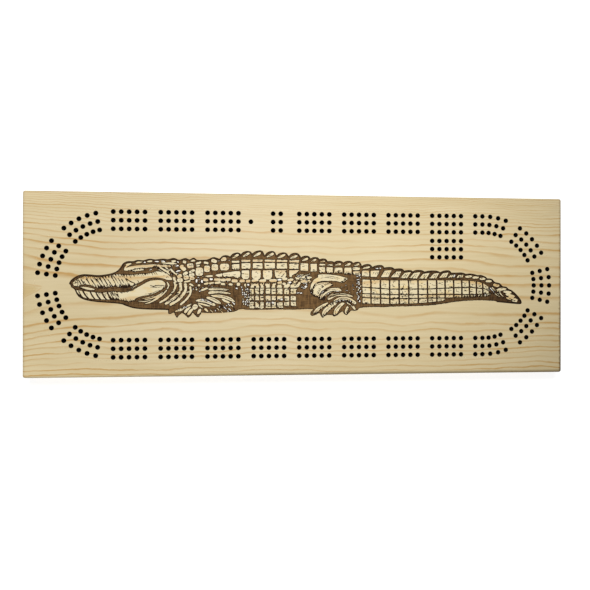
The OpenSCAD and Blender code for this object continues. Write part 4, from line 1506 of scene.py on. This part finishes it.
def magnet(name):
    g = Nodes(name)
    p = g.place()
    x, y, z = g.parts(p)
    rolled = g.wave(y, period=1.6)
    grain = g.noise(p, (0.25, 4.0, 4.0), detail=3.0, rough=0.6)
    powder = g.noise(p, (1.8, 1.8, 1.8), detail=3.0, rough=0.6)
    col = g.mix(grain * 0.8, srgb(38, 36, 35), srgb(66, 62, 59))
    col = g.mix(g.step(powder, 0.55, 0.75) * 0.35, col, srgb(92, 84, 74))
    g.bump(grain + rolled * 0.4, strength=0.3, mm=0.05)
    return g.finish(Base_Color=col, Roughness=0.5 + grain * 0.2)


FLOOR_GLOW, FLOOR_BOUNCE = 0.76, 0.10       # emission as the camera sees it, and as light


def floor_finish(name):
    g = Nodes(name)
    cloud = g.noise(g.place(), (0.05, 0.05, 0.05), detail=3.0)
    col = g.mix(cloud, (0.62, 0.62, 0.62), (0.64, 0.64, 0.64))
    camera_ray = g.make("LightPath", output="Is Camera Ray")
    shadow_ray = Value(g, camera_ray.socket.node.outputs["Is Shadow Ray"])
    glow = FLOOR_BOUNCE + camera_ray * (FLOOR_GLOW - FLOOR_BOUNCE)
    # from below the floor is clear to the camera, and it lets the lower lamp's light through
    below = g.make("NewGeometry", output="Backfacing")
    clear = g.make("BsdfTransparent")
    see_through = g.math("MAXIMUM", below * camera_ray, shadow_ray)
    both = g.make("MixShader", (see_through, Value(g, g.shader.outputs[0]), clear))
    g.put(g.tree.nodes["Material Output"].inputs["Surface"], both)
    return g.finish(Base_Color=col, Emission_Color=(1.0, 1.0, 1.0), Emission_Strength=glow,
                    Roughness=0.9)


# ---- put together -----------------------------------------------------------------------
# the last finish is a painted glint of near-white, glossier pine
board = make_board([pine("pine_face"), burned("pine_burned"),
                    burned("pine_burned_wall", deep=True), pine("pine_toasted", toast=0.75),
                    bored("pine_bored"), bored("pine_bored_tip"), milled("pine_milled"),
                    burned("pine_burned_core", core=True),
                    pine("pine_glint", tone=srgb(255, 251, 240), rough=0.36)])
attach(board, "base")
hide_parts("board")

brass = metal("cover_brass", srgb(236, 208, 144), srgb(204, 164, 98), rough=0.27, wear=0.3,
              brushed=(0.05, 3.2, 3.2))
screw_brass = metal("screw_brass", srgb(232, 200, 130), srgb(176, 136, 76), rough=0.24, wear=0.3,
                    brushed=(0.6, 0.6, 2.0))
gold = metal("peg_gold", srgb(240, 200, 112), srgb(190, 142, 66), rough=0.16, wear=0.2, turns=6.0)
silver = metal("peg_silver", srgb(214, 214, 212), srgb(150, 150, 150), rough=0.16, wear=0.22,
               turns=6.0)
black = metal("peg_black", srgb(58, 57, 58), srgb(24, 24, 25), rough=0.24, wear=0.3, turns=6.0)
foot_rubber = rubber("foot_rubber")

# material, slot and bevel width of each piece
HARDWARE = {
    "magnet_strip": (magnet("flexible_magnet"), "flexible_magnet", 0.12),
    "store_cover": (brass, "cover_brass", 0.12),
    "pivot_screw": (screw_brass, "screw_brass", 0.12),
    "pivot_washer": (screw_brass, "screw_brass", 0.06),
    "keeper_screw": (screw_brass, "screw_brass", 0.12),
}
for i in (1, 2, 3):
    HARDWARE["peg_gold_%d" % i] = (gold, "gold_plate", 0.08)
    HARDWARE["peg_silver_%d" % i] = (silver, "nickel_plate", 0.08)
    HARDWARE["peg_black_%d" % i] = (black, "black_finish", 0.08)
for end in ("front", "back"):
    for side in ("left", "right"):
        HARDWARE["foot_%s_%s" % (end, side)] = (foot_rubber, "foot_rubber", 0.35)
for name, (material, slot, edge) in HARDWARE.items():
    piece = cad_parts[name]
    piece.data.materials.clear()
    piece.data.materials.append(material)
    weld = piece.modifiers.new("weld", "WELD")
    weld.merge_threshold = 2e-6
    bevel = piece.modifiers.new("edge", "BEVEL")
    bevel.width = edge / 1000
    bevel.segments = 2
    bevel.limit_method = "ANGLE"
    bevel.angle_limit = math.radians(40)
    bevel.use_clamp_overlap = True
    bevel.harden_normals = True
    if name.endswith("_screw"):
        clean = piece.modifiers.new("clean", "WELD")
        clean.merge_threshold = 1e-6

# ---- floor, light and camera, in metres ---------------------------------------------------
FLOOR_HALF, FLOOR_Z = 6, -0.0001
mesh = bpy.data.meshes.new("floor")
mesh.from_pydata([(sx * FLOOR_HALF, sy * FLOOR_HALF, FLOOR_Z)
                  for sx, sy in ((-1, -1), (1, -1), (1, 1), (-1, 1))], [], [(0, 1, 2, 3)])
mesh.materials.append(floor_finish("floor"))
link_object("floor", mesh)

SKY_LIGHT, SKY_SEEN = 0.32, 0.92
world = bpy.data.worlds.new("studio")
bpy.context.scene.world = world
world.use_nodes = True
tree = world.node_tree
sky = tree.nodes["Background"]
sky.inputs["Color"].default_value = (1.0, 1.0, 1.0, 1)
rays = tree.nodes.new("ShaderNodeLightPath")
amount = tree.nodes.new("ShaderNodeMapRange")
amount.inputs["To Min"].default_value = SKY_LIGHT
amount.inputs["To Max"].default_value = SKY_SEEN
tree.links.new(rays.outputs["Is Camera Ray"], amount.inputs["Value"])
tree.links.new(amount.outputs[0], sky.inputs["Strength"])


def lamp(name, at, to, size, watts, colour=(1, 1, 1)):
    light = bpy.data.lights.new(name, "AREA")
    light.shape = "RECTANGLE"
    light.size, light.size_y = size
    light.energy = watts
    light.color = colour
    holder = link_object(name, light)
    holder.location = at
    holder.rotation_euler = (Vector(to) - Vector(at)).to_track_quat("-Z", "Y").to_euler()


lamp("key", at=(-0.045, 0.165, 0.48), to=(-0.02, 0.03, 0.02), size=(0.26, 0.16), watts=1.85,
     colour=(1.0, 0.995, 0.985))
lamp("under", at=(0.10, -0.25, -0.60), to=(0, 0, 0.005), size=(0.5, 0.3), watts=3.0)

CAMERA_AT = (-0.0487, -0.0085, 0.4858)
CAMERA_LOOK, CAMERA_UP = Vector((0.0917, 0.0014, -0.9958)), Vector((-0.0006, 1.0, 0.0014))
camera = bpy.data.cameras.new("photo")
camera.lens, camera.sensor_width = 36.6, 36.0
camera.clip_start = 0.01
eye = link_object("photo", camera)
back = -CAMERA_LOOK.normalized()
right = CAMERA_UP.cross(back).normalized()
turn = Matrix((right, back.cross(right), back)).transposed()
eye.matrix_world = Matrix.Translation(CAMERA_AT) @ turn.to_4x4()
bpy.context.scene.camera = eye
bpy.context.scene.view_settings.view_transform = "Standard"
